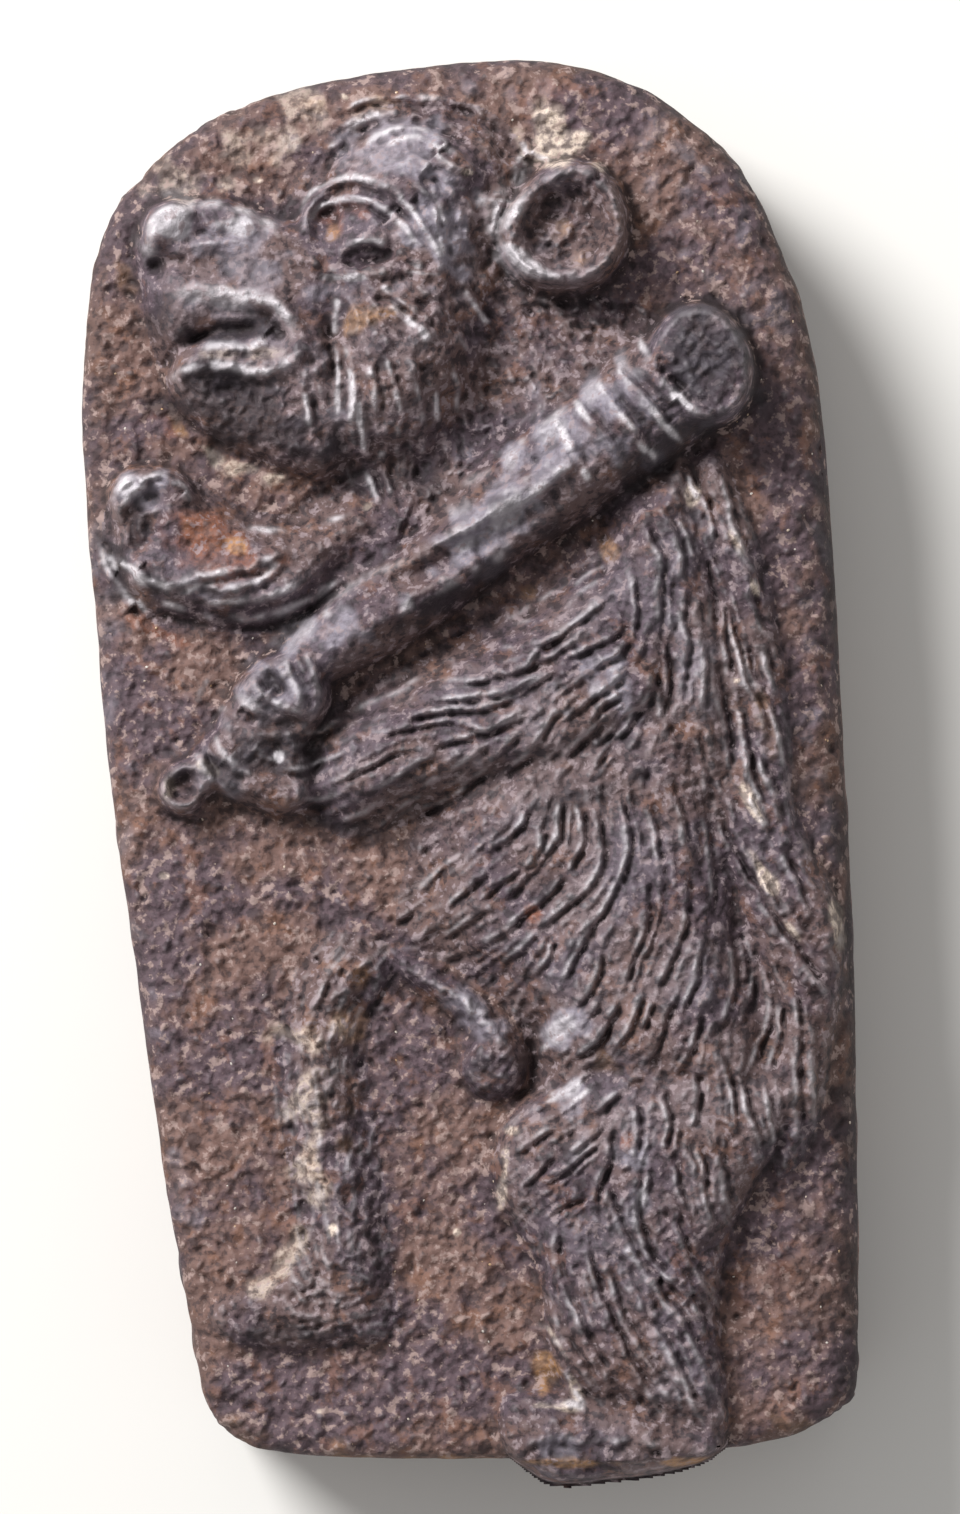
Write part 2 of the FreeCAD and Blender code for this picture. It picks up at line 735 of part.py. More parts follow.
def make_shaft():
    """The club between its ends: a tapered shaft that swells into a ringed head, turned about its length."""
    outline = [([(CLUB_PROFILE_SHARES[0][0], "length")], [])]
    for along_share, radius_share in CLUB_PROFILE_SHARES:
        outline.append(([(along_share, "length")], [(radius_share, "radius")]))
    for ring_share in CLUB_RING_SHARES:
        for shift_share, raised in ((-CLUB_RING_HALF_SHARE, 0), (0, 1), (CLUB_RING_HALF_SHARE, 0)):
            outline.append(([(ring_share + shift_share, "length")], [(1, "radius"), (raised, "ring_rise")]))
    outline.append(([(CLUB_END_SHARE, "length")], [(CLUB_END_RADIUS_SHARE, "radius")]))
    outline.append(([(CLUB_END_SHARE, "length")], []))
    body = revolved("club", outline, "XY_Plane", "H_Axis")
    place(body, BUTT_PLACE_SHARES, "(Sizes.slab_thickness + Sizes.club_lift) * 1 mm")
    body.Placement.Rotation = FreeCAD.Rotation(VECTOR(0, 0, 1), CLUB_TURN)
    return body


def make_forms():
    """Every carved form as it is before it is seated, by its node's name."""
    forms = {name: make_form(name) for name in FORMS}
    forms["nose"] = make_nose()
    forms["eye"] = make_eye()
    forms["brow"] = make_brow()
    forms["ear"] = make_ear()
    forms["raised_claws"] = make_claws()
    forms["club_shaft"] = make_shaft()
    forms["club_head"] = make_dished_end("knob", KNOB_PLACE_SHARES)
    forms["club_butt"] = make_dished_end("butt", BUTT_PLACE_SHARES)
    return forms


def seat(name, forms, slab):
    """Cuts a form by the slab and by each neighbour that it gives way to, so that they meet face to face."""
    seated = forms[name]
    for tool in [slab] + [forms[neighbour] for neighbour in CUT_BY.get(name, [])]:
        cut = DOCUMENT.addObject("Part::Cut", name + "_seated")
        cut.Base = seated
        cut.Tool = tool
        seated = cut
    return seated


def combed(name, seated):
    """A seated form with the furrows of its hair cut into it."""
    comb = COMBS[name]
    arcs = []
    for (radius_share, level_share), (first_turn, last_turn) in zip(comb["arc_shares"], comb["arc_turns"]):
        arc = DOCUMENT.addObject("Part::Torus", name + "_furrow")
        arc.setExpression("Radius1", product(radius_share, name + "_length"))
        arc.setExpression("Radius2", "Sizes.furrow_radius * 1 mm")
        arc.Angle3 = last_turn - first_turn
        arc.Placement.Rotation = FreeCAD.Rotation(VECTOR(0, 0, 1), first_turn)
        level = product(level_share, name + "_rise")
        place(arc, comb["centre_shares"], f"(Sizes.slab_thickness + Sizes.furrow_radius) * 1 mm + {level}")
        arcs.append(arc)
    cut = DOCUMENT.addObject("Part::Cut", name + "_combed")
    cut.Base = seated
    cut.Tool = fused(name + "_furrows", arcs)
    return cut


def check(nodes):
    """Stops if any object failed, or if a node is not one sound solid."""
    for thing in DOCUMENT.Objects:
        if "Invalid" in thing.State or "Error" in thing.State:
            raise RuntimeError(f"{thing.Name} failed: {thing.State}")
    for name, node in nodes.items():
        shape = node.Shape
        if shape.isNull() or not shape.isValid():
            raise RuntimeError(f"{name} has no sound shape")
        if len(shape.Solids) != 1:
            raise RuntimeError(f"{name} has {len(shape.Solids)} solids")


def main():
    """Builds the document, checks it and writes one file for each node."""
    make_sheet()
    slab = make_slab()
    forms = make_forms()
    nodes = {"slab": slab}
    for name in forms:
        nodes[name] = seat(name, forms, slab)
    for name in COMBS:
        nodes[name] = combed(name, nodes[name])
    DOCUMENT.recompute()
    for name, node in nodes.items():
        node.Label = name
    check(nodes)
    os.makedirs("parts", exist_ok=True)
    for name, node in nodes.items():
        node.Shape.exportStep(f"parts/{name}.step")
        box = node.Shape.optimalBoundingBox()
        print(f"{name}: {box.XLength:.2f} x {box.YLength:.2f} x {box.ZLength:.2f} mm")


main()
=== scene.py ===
"""Looks of a stone seal matrix that carries an upright bear with a club, carved in raised relief.

The carved face is one field of heights, worked out from outlines and strokes drawn on the photograph's pixels.
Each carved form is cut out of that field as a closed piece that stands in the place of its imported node. The
block under the face is a body of rings round the slab's outline.
"""
import logging
import math
from dataclasses import dataclass, field
from enum import Enum

import bpy
import numpy as np
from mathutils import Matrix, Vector


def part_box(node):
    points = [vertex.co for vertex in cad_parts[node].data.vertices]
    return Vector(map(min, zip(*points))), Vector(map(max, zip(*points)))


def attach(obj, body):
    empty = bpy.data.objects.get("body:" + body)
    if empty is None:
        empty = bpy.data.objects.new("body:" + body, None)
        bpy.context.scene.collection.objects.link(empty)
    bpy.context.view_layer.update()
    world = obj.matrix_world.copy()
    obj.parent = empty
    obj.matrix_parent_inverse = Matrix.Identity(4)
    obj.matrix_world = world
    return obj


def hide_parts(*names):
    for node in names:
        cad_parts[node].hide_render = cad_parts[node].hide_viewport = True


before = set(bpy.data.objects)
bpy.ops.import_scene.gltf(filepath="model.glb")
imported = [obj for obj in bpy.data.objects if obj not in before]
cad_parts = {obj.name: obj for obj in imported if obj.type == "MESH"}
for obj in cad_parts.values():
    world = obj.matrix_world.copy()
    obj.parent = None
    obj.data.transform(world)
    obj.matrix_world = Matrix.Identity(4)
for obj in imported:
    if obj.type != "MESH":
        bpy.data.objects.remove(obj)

LOG = logging.getLogger("seal_matrix")
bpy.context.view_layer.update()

Point = tuple[float, float]
# A path lists the x and the y of its points in turn
Path = list[float]
Colour = tuple[int, int, int]

# The photograph: its scale, the pixel of the slab's middle, and its height
PX_PER_MM = 25.5
CENTRE_PX = (468.5, 759.5)
PHOTO_CENTRE_PX = (480.0, 757.0)
PHOTO_HEIGHT_PX = 1514
MM = 0.001

# The part of the photograph that the field of heights covers, and the size of its cells
FIELD_LOW_PX = (72, 46)
FIELD_HIGH_PX = (868, 1500)
CELL_PX = 2.0

ROOT = "root"


class Flank(Enum):
    """How the side of a form rises from its outline."""

    STEEP = "steep"
    SOFT = "soft"


class Tint(Enum):
    """The layers that colour the stone: real stains and wear, and painted highlight, painted sheen and painted shade.
    """

    RUST = "rust"
    LIME = "lime"
    OCHRE = "ochre"
    # Grey tone of the raised forms, with painted sheen on their high places
    GRAPHITE = "graphite"
    # Dark stain, and mostly painted shade: in hollows and grooves, under forms and on sides away from the light
    DARK = "dark"
    # Pale crests: part wear, part painted highlight on the tops and lit sides of ridges
    CREST = "crest"
    # Painted shade in the hollows, worked out from the heights
    CAVITY = "cavity"


@dataclass(frozen=True)
class Form:
    """A carved form: its node, its outline in pixels, and how it rises.

    rise_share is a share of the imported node's height over the face. flank_mm is how far in from the outline the
    form reaches its full height. tilt_mm is the change of height over 100 pixels to the right and down.
    """

    node: str
    outline: Path
    rise_share: float = 1.0
    flank_mm: float = 1.5
    flank: Flank = Flank.STEEP
    tilt_mm: Point = (0.0, 0.0)
    blend_mm: float = 0.15


@dataclass(frozen=True)
class Bar:
    """A round bar along an axis, with its half width in pixels and its height share at each point."""

    node: str
    axis: Path
    half_widths: list[float]
    rise_shares: list[float]


@dataclass(frozen=True)
class Cup:
    """A round form with a rim and a dish, given by its radial profile as shares of its radius and rise."""

    node: str
    centre: Point
    radii: Point
    turn: float
    profile_shares: list[Point]
    wobble_share: float = 0.03


@dataclass(frozen=True)
class Lump:
    """A smooth swelling, or a hollow where rise_mm is below zero."""

    centre: Point
    radii: Point
    turn: float
    rise_mm: float


@dataclass(frozen=True)
class Stroke:
    """A carved strand: a ridge along a path, with a groove on the side away from the light.

    pale is how far a pale line is painted along the top of its ridge, toward the light: part wear, part painted
    highlight.
    """

    path: Path
    width_px: float
    rise_mm: float
    groove_mm: float = 0.0
    pale: float = 0.0


@dataclass(frozen=True)
class Stain:
    """A patch of colour with a soft broken edge: a stain or worn place, or by its tint painted highlight, sheen or
    shade.
    """

    tint: Tint
    centre: Point
    radii: Point
    strength: float = 1.0
    turn: float = 0.0


@dataclass(frozen=True)
class Fur:
    """A patch that fine strands fill, following the strokes that are drawn there."""

    nodes: list[str]
    spacing_px: float
    length_px: float
    width_px: float
    rise_mm: float
    seed: int
    pale: float = 0.15


def strands(paths: list[Path], width_px: float, rise_mm: float, groove_mm: float, pale: float) -> list[Stroke]:
    """Strokes of one kind along several paths.

    Args:
        paths: the middle lines in pixels.
        width_px: the half width of each ridge.
        rise_mm: how far each ridge rises, below zero for a cut.
        groove_mm: how deep the groove beside it is.
        pale: how far pale lines are painted along the crests, part wear and part painted highlight.

    Returns:
        One stroke for each path.
    """
    return [Stroke(path, width_px, rise_mm, groove_mm, pale) for path in paths]


def patches(tint: Tint, rows: list[tuple[float, ...]]) -> list[Stain]:
    """Stains of one tint, each from its middle, its two radii, its strength and perhaps its turn in degrees."""
    return [Stain(tint, row[:2], row[2:4], *row[4:]) for row in rows]


def swellings(rows: list[tuple[float, ...]]) -> list[Lump]:
    """Lumps, each from its middle, its two radii, its turn in degrees and its rise in millimetres."""
    return [Lump(row[:2], row[2:4], *row[4:]) for row in rows]


def smooth_path(points: Path, closed: bool, parts: int = 4) -> np.ndarray:
    """A smooth curve through given points.

    Args:
        points: the x and y of the points in turn, in pixels.
        closed: whether the curve returns to its start.
        parts: the number of straight parts between two neighbours.

    Returns:
        The curve's points as rows of x and y.
    """
    given = np.array(points, float).reshape(-1, 2)
    if closed:
        ring = np.vstack([given[-1], given, given[0], given[1]])
    else:
        ring = np.vstack([2 * given[0] - given[1], given, 2 * given[-1] - given[-2]])
    runs = []
    for first, second, third, fourth in zip(ring[:-3], ring[1:-2], ring[2:-1], ring[3:]):
        for step in np.arange(parts) / parts:
            linear = (third - first) * step
            square = (2 * first - 5 * second + 4 * third - fourth) * step**2
            cube = (3 * second - first - 3 * third + fourth) * step**3
            runs.append(0.5 * (2 * second + linear + square + cube))
    if not closed:
        runs.append(given[-1])
    return np.array(runs)


def smoothstep(value: np.ndarray) -> np.ndarray:
    """A smooth step from 0 to 1 as the value goes from 0 to 1."""
    held = np.clip(value, 0.0, 1.0)
    return held * held * (3 - 2 * held)


def turned(x: np.ndarray, y: np.ndarray, centre: Point, radii: Point, turn: float) -> tuple[np.ndarray, np.ndarray]:
    """Points as shares of the radii of a turned ellipse.

    Args:
        x: pixels across.
        y: pixels down.
        centre: the ellipse's centre in pixels.
        radii: its radii in pixels.
        turn: the angle of its first radius in degrees, clockwise on the photograph.

    Returns:
        The shares along the first and the second radius.
    """
    cosine, sine = math.cos(math.radians(turn)), math.sin(math.radians(turn))
    off_x, off_y = x - centre[0], y - centre[1]
    return (off_x * cosine + off_y * sine) / radii[0], (off_y * cosine - off_x * sine) / radii[1]


def bell(x: np.ndarray, y: np.ndarray, centre: Point, radii: Point, turn: float) -> np.ndarray:
    """A smooth bump of height 1 that has nearly gone at the radii of a turned ellipse."""
    first, second = turned(x, y, centre, radii, turn)
    return np.exp(-2 * (first**2 + second**2))


def inside(x: np.ndarray, y: np.ndarray, path: np.ndarray) -> np.ndarray:
    """Whether points lie inside a closed path.

    Args:
        x: pixels across.
        y: pixels down.
        path: the path's points in pixels.

    Returns:
        True at each point inside.
    """
    odd = np.zeros(x.shape, bool)
    for start, end in zip(path, np.roll(path, -1, 0)):
        drop = end[1] - start[1]
        if drop != 0:
            crosses = (start[1] > y) != (end[1] > y)
            odd ^= crosses & (x < start[0] + (y - start[1]) * (end[0] - start[0]) / drop)
    return odd


def joined(lower: np.ndarray, upper: np.ndarray, blend_mm: float) -> np.ndarray:
    """The higher of two fields, with the crease between them eased over a small height."""
    ease = np.maximum(1 - np.abs(lower - upper) / blend_mm, 0)
    return np.maximum(lower, upper) + blend_mm / 4 * ease**2


@dataclass(frozen=True)
class Nearness:
    """How the corners in a window lie to a path, in pixels.

    distance is the distance, side the distance to the lower right as a signed number, along the share of the
    path that is passed, and part the index of the nearest straight part.
    """

    window: tuple[slice, slice]
    distance: np.ndarray
    side: np.ndarray
    along: np.ndarray
    part: np.ndarray


class Field:
    """The grid of cells over the face. Rows run down the photograph and columns run to its right."""

    def __init__(self, cell_px: float) -> None:
        """Sets up the corners of the cells.

        Args:
            cell_px: the size of one cell in pixels.
        """
        self.cell_px = cell_px
        self.cell_mm = cell_px / PX_PER_MM
        self.columns = int((FIELD_HIGH_PX[0] - FIELD_LOW_PX[0]) / cell_px) + 1
        self.rows = int((FIELD_HIGH_PX[1] - FIELD_LOW_PX[1]) / cell_px) + 1
        self.shape = (self.rows, self.columns)
        across = FIELD_LOW_PX[0] + np.arange(self.columns) * cell_px
        down = FIELD_LOW_PX[1] + np.arange(self.rows) * cell_px
        self.x, self.y = np.meshgrid(across, down)

    def window(self, path: np.ndarray, margin: float) -> tuple[slice, slice]:
        """The rows and columns within a margin of a path.

        Args:
            path: points in pixels.
            margin: the margin in pixels.

        Returns:
            The slices of rows and columns.
        """
        low = np.clip((path.min(0) - margin - FIELD_LOW_PX) / self.cell_px, 0, None).astype(int)
        high = ((path.max(0) + margin - FIELD_LOW_PX) / self.cell_px + 2).astype(int)
        return slice(low[1], min(self.rows, high[1])), slice(low[0], min(self.columns, high[0]))

    def measure(self, path: np.ndarray, closed: bool, reach_px: float) -> Nearness:
        """Measures the corners near a path against it.

        Args:
            path: the path's points in pixels.
            closed: whether the path returns to its start.
            reach_px: how far from the path the distances are worked out. Beyond it they stay at the reach.

        Returns:
            How the corners in the path's window lie to it.
        """
        window = self.window(path, reach_px)
        row_low, column_low = window[0].start, window[1].start
        shape = self.x[window].shape
        squared = np.full(shape, reach_px**2)
        side = np.full(shape, reach_px)
        along = np.zeros(shape)
        part = np.zeros(shape, int)
        ends = np.roll(path, -1, 0) if closed else path[1:]
        starts = path if closed else path[:-1]
        for index, (start, end) in enumerate(zip(starts, ends)):
            rows, columns = self.window(np.array([start, end]), reach_px)
            here_rows = slice(rows.start - row_low, rows.stop - row_low)
            here = (here_rows, slice(columns.start - column_low, columns.stop - column_low))
            x, y = self.x[rows, columns], self.y[rows, columns]
            run = end - start
            length = max(float(run @ run), 1e-9)
            share = np.clip(((x - start[0]) * run[0] + (y - start[1]) * run[1]) / length, 0, 1)
            off_x = x - start[0] - share * run[0]
            off_y = y - start[1] - share * run[1]
            new = off_x**2 + off_y**2
            closer = new < squared[here]
            squared[here] = np.where(closer, new, squared[here])
            normal = np.array([-run[1], run[0]]) / math.sqrt(length)
            if normal.sum() < 0:
                normal = -normal
            side[here] = np.where(closer, off_x * normal[0] + off_y * normal[1], side[here])
            along[here] = np.where(closer, (index + share) / len(starts), along[here])
            part[here] = np.where(closer, index, part[here])
        return Nearness(window, np.sqrt(squared), side, along, part)

    def blur(self, values: np.ndarray, radius_px: float) -> np.ndarray:
        """Smooths a layer of values.

        Args:
            values: one value for each corner.
            radius_px: the radius of the bell that smooths them, in pixels.

        Returns:
            The smoothed layer.
        """
        radius = radius_px / self.cell_px
        down = np.fft.fftfreq(self.rows)[:, None]
        across = np.fft.rfftfreq(self.columns)[None, :]
        weight = np.exp(-2 * (math.pi * radius) ** 2 * (down**2 + across**2))
        return np.fft.irfft2(np.fft.rfft2(values) * weight, s=self.shape)

    def noise(self, wave_px: float, seed: int) -> np.ndarray:
        """Smooth noise of mean 0 and deviation 1.

        Args:
            wave_px: the size of its features in pixels.
            seed: the fixed seed.

        Returns:
            A value at each corner.
        """
        smooth = self.blur(np.random.default_rng(seed).standard_normal(self.shape), wave_px)
        return (smooth - smooth.mean()) / smooth.std()

    def sample(self, values: np.ndarray, points: np.ndarray) -> np.ndarray:
        """The values at points between the corners.

        Args:
            values: a value at each corner.
            points: rows of x and y in pixels.

        Returns:
            A value for each point.
        """
        spot = (points - np.array(FIELD_LOW_PX)) / self.cell_px
        column = np.clip(spot[:, 0], 0, self.columns - 1.001)
        row = np.clip(spot[:, 1], 0, self.rows - 1.001)
        left, top = column.astype(int), row.astype(int)
        right_share, down_share = column - left, row - top
        upper = values[top, left] * (1 - right_share) + values[top, left + 1] * right_share
        lower = values[top + 1, left] * (1 - right_share) + values[top + 1, left + 1] * right_share
        return upper * (1 - down_share) + lower * down_share


def face_level() -> float:
    """The height of the slab's face over its back, in metres."""
    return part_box("slab")[1].z


def node_rise(node: str) -> float:
    """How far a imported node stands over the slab's face, in millimetres."""
    return (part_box(node)[1].z - face_level()) / MM


def to_metres(x: np.ndarray, y: np.ndarray, height_mm: np.ndarray) -> np.ndarray:
    """Points of the photograph at heights over the face, as places in the frame in metres."""
    across = (x - CENTRE_PX[0]) / PX_PER_MM * MM
    up = (CENTRE_PX[1] - y) / PX_PER_MM * MM
    return np.stack([across, up, face_level() + height_mm * MM], -1)


@dataclass
class Slab:
    """The block of stone: its outline on the photograph and the rounding of its rims, in millimetres."""

    outline: Path = field(
        default_factory=lambda: [
            510, 58, 545, 59, 580, 64, 620, 77, 660, 95, 702, 127, 725, 148, 745, 172, 764, 204, 783, 249, 804, 301,
            816, 360, 825, 420, 832, 500, 837, 580, 842, 680, 847, 770, 852, 860, 855, 960, 858, 1060, 859, 1150,
            860, 1250, 860, 1340, 858, 1386, 852, 1403, 839, 1413, 820, 1425, 795, 1437, 761, 1445, 720, 1451,
            660, 1458, 600, 1460, 500, 1460, 400, 1460, 300, 1456, 262, 1451, 240, 1442, 224, 1430, 212, 1416,
            204, 1396, 194, 1350, 186, 1302, 178, 1260, 170, 1212, 160, 1150, 149, 1075, 138, 990, 125, 900, 115, 830,
            108, 760, 100, 680, 94, 600, 88, 540, 84, 480, 81, 430, 82, 378, 85, 330, 91, 275, 100, 240, 112, 212,
            124, 194, 142, 175, 160, 156, 180, 139, 200, 125, 220, 113, 240, 105, 262, 97, 300, 86, 350, 75, 400, 67,
            450, 61,
        ]
    )
    round_right_mm: float = 2.1
    round_left_mm: float = 0.9
    round_top_mm: float = 1.3
    round_bottom_mm: float = 0.8
    back_round_mm: float = 1.0
    lip_mm: float = 0.22
    lap_mm: float = 0.16
    sink_mm: float = 0.05
    tuck_mm: float = 0.60
    overhang_mm: float = 1.8
    overrun_mm: float = 0.1
    bed_mm: float = 1.25
    chip_px: float = 0.45
    side_wear_mm: float = 0.05

    def path(self) -> np.ndarray:
        """The outline as a fine closed path in pixels, with the small unevenness of a worn edge."""
        smooth = smooth_path(self.outline, True, 14)
        uneven = ring_noise(len(smooth), 14, 11)
        return smooth + self.outward(smooth) * (uneven * self.chip_px)[:, None]

    def outward(self, path: np.ndarray) -> np.ndarray:
        """The direction out of the outline at each of its points, on the photograph."""
        tangent = np.roll(path, -1, 0) - np.roll(path, 1, 0)
        return np.stack([tangent[:, 1], -tangent[:, 0]], 1) / np.linalg.norm(tangent, axis=1)[:, None]

    def rounding(self, path: np.ndarray) -> np.ndarray:
        """How far the face's rim is rounded along the outline.

        Args:
            path: the outline's points in pixels.

        Returns:
            The rounding at each point, in millimetres.
        """
        out = self.outward(path)
        total = np.clip(out[:, 0], 0, 1) ** 2 * self.round_right_mm
        total += np.clip(-out[:, 0], 0, 1) ** 2 * self.round_left_mm
        total += np.clip(out[:, 1], 0, 1) ** 2 * self.round_bottom_mm
        total += np.clip(-out[:, 1], 0, 1) ** 2 * self.round_top_mm
        return ring_blur(total, 60)

    def rim_drop(self, inset_mm: np.ndarray, round_mm: np.ndarray) -> np.ndarray:
        """How far the rounded rim lies under the face at distances in from the outline."""
        rest = np.clip(round_mm - inset_mm, 0, None)
        return round_mm - np.sqrt(np.clip(round_mm**2 - rest**2, 0, None))

    def ground(self, grid: Field) -> tuple[np.ndarray, np.ndarray]:
        """The face without its carving.

        Args:
            grid: the field that covers the face.

        Returns:
            The height at each corner and its distance in from the outline, both in millimetres. The distance is
            below zero outside the slab.
        """
        path = self.path()
        reach_px = (self.round_right_mm + 0.8) * PX_PER_MM
        near = grid.measure(path, True, reach_px)
        distance = np.full(grid.shape, reach_px)
        distance[near.window] = near.distance
        part = np.zeros(grid.shape, int)
        part[near.window] = near.part
        within = inside(grid.x, grid.y, path[::3])
        inset = np.where(within, distance, -distance) / PX_PER_MM
        round_mm = self.rounding(path)[part]
        drop = self.rim_drop(np.clip(inset, 0, None), round_mm) + np.clip(-inset, 0, None) * 4
        return -drop, inset

    def body_mesh(self, grid: Field, detail: np.ndarray) -> tuple[np.ndarray, list[list[int]]]:
        """The block as rings round the outline, from the bed under the face round the rims to the flat back.

        Args:
            grid: the field that covers the face.
            detail: the fine unevenness of the face at each corner, in millimetres.

        Returns:
            The places of the vertices in metres, and the faces.
        """
        path = self.path()
        out = self.outward(path)
        round_mm = self.rounding(path)
        count = len(path)
        thickness = face_level() / MM
        rings = [(np.full(count, self.tuck_mm), np.full(count, -self.bed_mm), 0.0)]
        for share in np.linspace(0, 1, 15):
            inset = np.full(count, self.tuck_mm * (1 - share) ** 1.6)
            sink = self.sink_mm * smoothstep((inset - self.lip_mm) / self.lap_mm)
            rings.append((inset, -self.rim_drop(inset, round_mm) - sink, 1.0))
        wear = wall_noise(count, 14, 5) * self.side_wear_mm
        lowest = -(thickness - self.back_round_mm)
        for index, share in enumerate(np.linspace(0, 1, 13)[1:]):
            rings.append((wear[index], -round_mm * (1 - share) + lowest * share, 0.0))
        for angle in np.linspace(0, math.pi / 2, 7)[1:]:
            inset = wear[11] * math.cos(angle) + self.back_round_mm * (1 - math.cos(angle))
            rings.append((inset, np.full(count, lowest - self.back_round_mm * math.sin(angle)), 0.0))
        places = []
        for inset, height, detail_share in rings:
            points = path - out * (inset * PX_PER_MM)[:, None]
            places.append(to_metres(points[:, 0], points[:, 1], height + detail_share * grid.sample(detail, points)))
        faces = []
        for ring in range(len(rings) - 1):
            first, second = ring * count, (ring + 1) * count
            for index in range(count):
                after = (index + 1) % count
                faces.append([first + index, first + after, second + after, second + index])
        faces.append(list(range(count))[::-1])
        last = (len(rings) - 1) * count
        faces.append(list(range(last, last + count)))
        return np.concatenate(places), faces


def ring_blur(values: np.ndarray, radius: float) -> np.ndarray:
    """Values round a closed path, smoothed over a number of its points."""
    share = np.fft.rfftfreq(len(values))
    return np.fft.irfft(np.fft.rfft(values) * np.exp(-2 * (math.pi * radius * share) ** 2), len(values))


def ring_noise(count: int, radius: float, seed: int) -> np.ndarray:
    """Smooth noise of deviation 1 round a closed path of a number of points."""
    smooth = ring_blur(np.random.default_rng(seed).standard_normal(count), radius / 6)
    return smooth / smooth.std()


def wall_noise(count: int, rows: int, seed: int) -> np.ndarray:
    """Smooth noise over a wall.

    Args:
        count: the number of points round the wall.
        rows: the number of rows down it.
        seed: the seed of the noise.

    Returns:
        The noise, of deviation 1.
    """
    white = np.random.default_rng(seed).standard_normal((rows, count))
    rows_share = np.fft.fftfreq(rows)[:, None]
    round_share = np.fft.rfftfreq(count)[None, :]
    weight = np.exp(-2 * math.pi**2 * ((rows_share * 0.8) ** 2 + (round_share * 3.5) ** 2))
    smooth = np.fft.irfft2(np.fft.rfft2(white) * weight, s=white.shape)
    return smooth / smooth.std()


class Carved:
    """A group of carved forms. Each group gives its own forms, lumps, strokes, stains with painted light and shade,
    and fur.
    """

    def forms(self) -> list[Form | Bar | Cup]:
        """The forms that rise from the face, lowest first."""
        return []

    def lumps(self) -> list[Lump]:
        """Swellings and hollows on the forms."""
        return []

    def strokes(self) -> list[Stroke]:
        """Carved lines and strands."""
        return []

    def stains(self) -> list[Stain]:
        """Stains, worn places, and patches of painted highlight, painted sheen and painted shade."""
        return []

    def fur(self) -> list[Fur]:
        """Patches of fine strands."""
        return []


@dataclass
class Ground(Carved):
    """The flat of the face round the figure."""

    def lumps(self) -> list[Lump]:
        """The long shallow waves of the worn face."""
        return swellings([
            (215, 330, 60, 160, 0, -0.12), (450, 1200, 45, 150, 0, -0.12), (410, 1290, 12, 60, 0, -0.16),
            (250, 1120, 60, 170, 0, 0.10), (790, 1250, 40, 160, 0, 0.10), (700, 230, 70, 110, 35, 0.10),
            (610, 130, 60, 40, 20, 0.12),
        ])

    def stains(self) -> list[Stain]:
        """The lime, rust and ochre stains on the flat of the face, and painted shade and painted sheen along its
        rims.
        """
        return (
            patches(Tint.LIME, [
                (548, 118, 24, 14, 0.9), (562, 142, 44, 34, 1.7, 20), (590, 165, 34, 14, 0.7, 20),
                (270, 140, 150, 54, 0.50, -25), (215, 455, 40, 6, 0.8, 38), (238, 468, 26, 13, 1.0, 15),
                (275, 478, 20, 8, 0.9), (320, 1412, 10, 6, 0.9), (165, 876, 8, 6, 1.2), (457, 1232, 6, 6, 1.2),
                (332, 1228, 6, 6, 1.2), (250, 1355, 7, 6, 1.0), (258, 180, 9, 5, 1.2), (345, 97, 11, 6, 1.1, 30),
                (368, 508, 8, 5, 1.2, -30),
            ])
            + patches(Tint.OCHRE, [
                (360, 105, 60, 18, 0.45), (122, 275, 20, 36, 0.5), (185, 432, 30, 12, 0.8, 40),
                (300, 1430, 110, 24, 0.45), (800, 1425, 70, 20, 0.4), (520, 1460, 420, 7, 0.9),
            ])
            + patches(Tint.RUST, [
                (610, 148, 16, 14, 0.9), (560, 90, 60, 24, 0.5), (650, 285, 18, 20, 0.6), (170, 425, 34, 22, 0.8),
                (140, 612, 30, 12, 0.6, 35), (765, 360, 14, 26, 0.5), (760, 1270, 44, 60, 0.5),
            ])
            # Painted shade along the rims, most of all the right one, which faces away from the light
            + patches(Tint.DARK, [
                (150, 905, 34, 60, 0.45), (700, 160, 60, 26, 0.5, 45), (640, 105, 50, 20, 0.4, 25),
                (858, 1100, 30, 560, 0.8, -0.5), (832, 560, 30, 360, 0.8, -4), (800, 720, 34, 200, 0.4),
                (790, 480, 60, 330, 0.55, -5), (800, 1280, 80, 200, 0.55),
            ])
            # Grey tone and painted sheen along the rims
            + patches(Tint.GRAPHITE, [
                (815, 700, 26, 300, 0.45), (770, 320, 30, 120, 0.5, -20), (100, 620, 30, 300, 0.5, -4),
                (160, 1100, 30, 300, 0.5, -9), (690, 190, 80, 110, 0.55, -40), (480, 84, 120, 26, 0.45),
            ])
        )


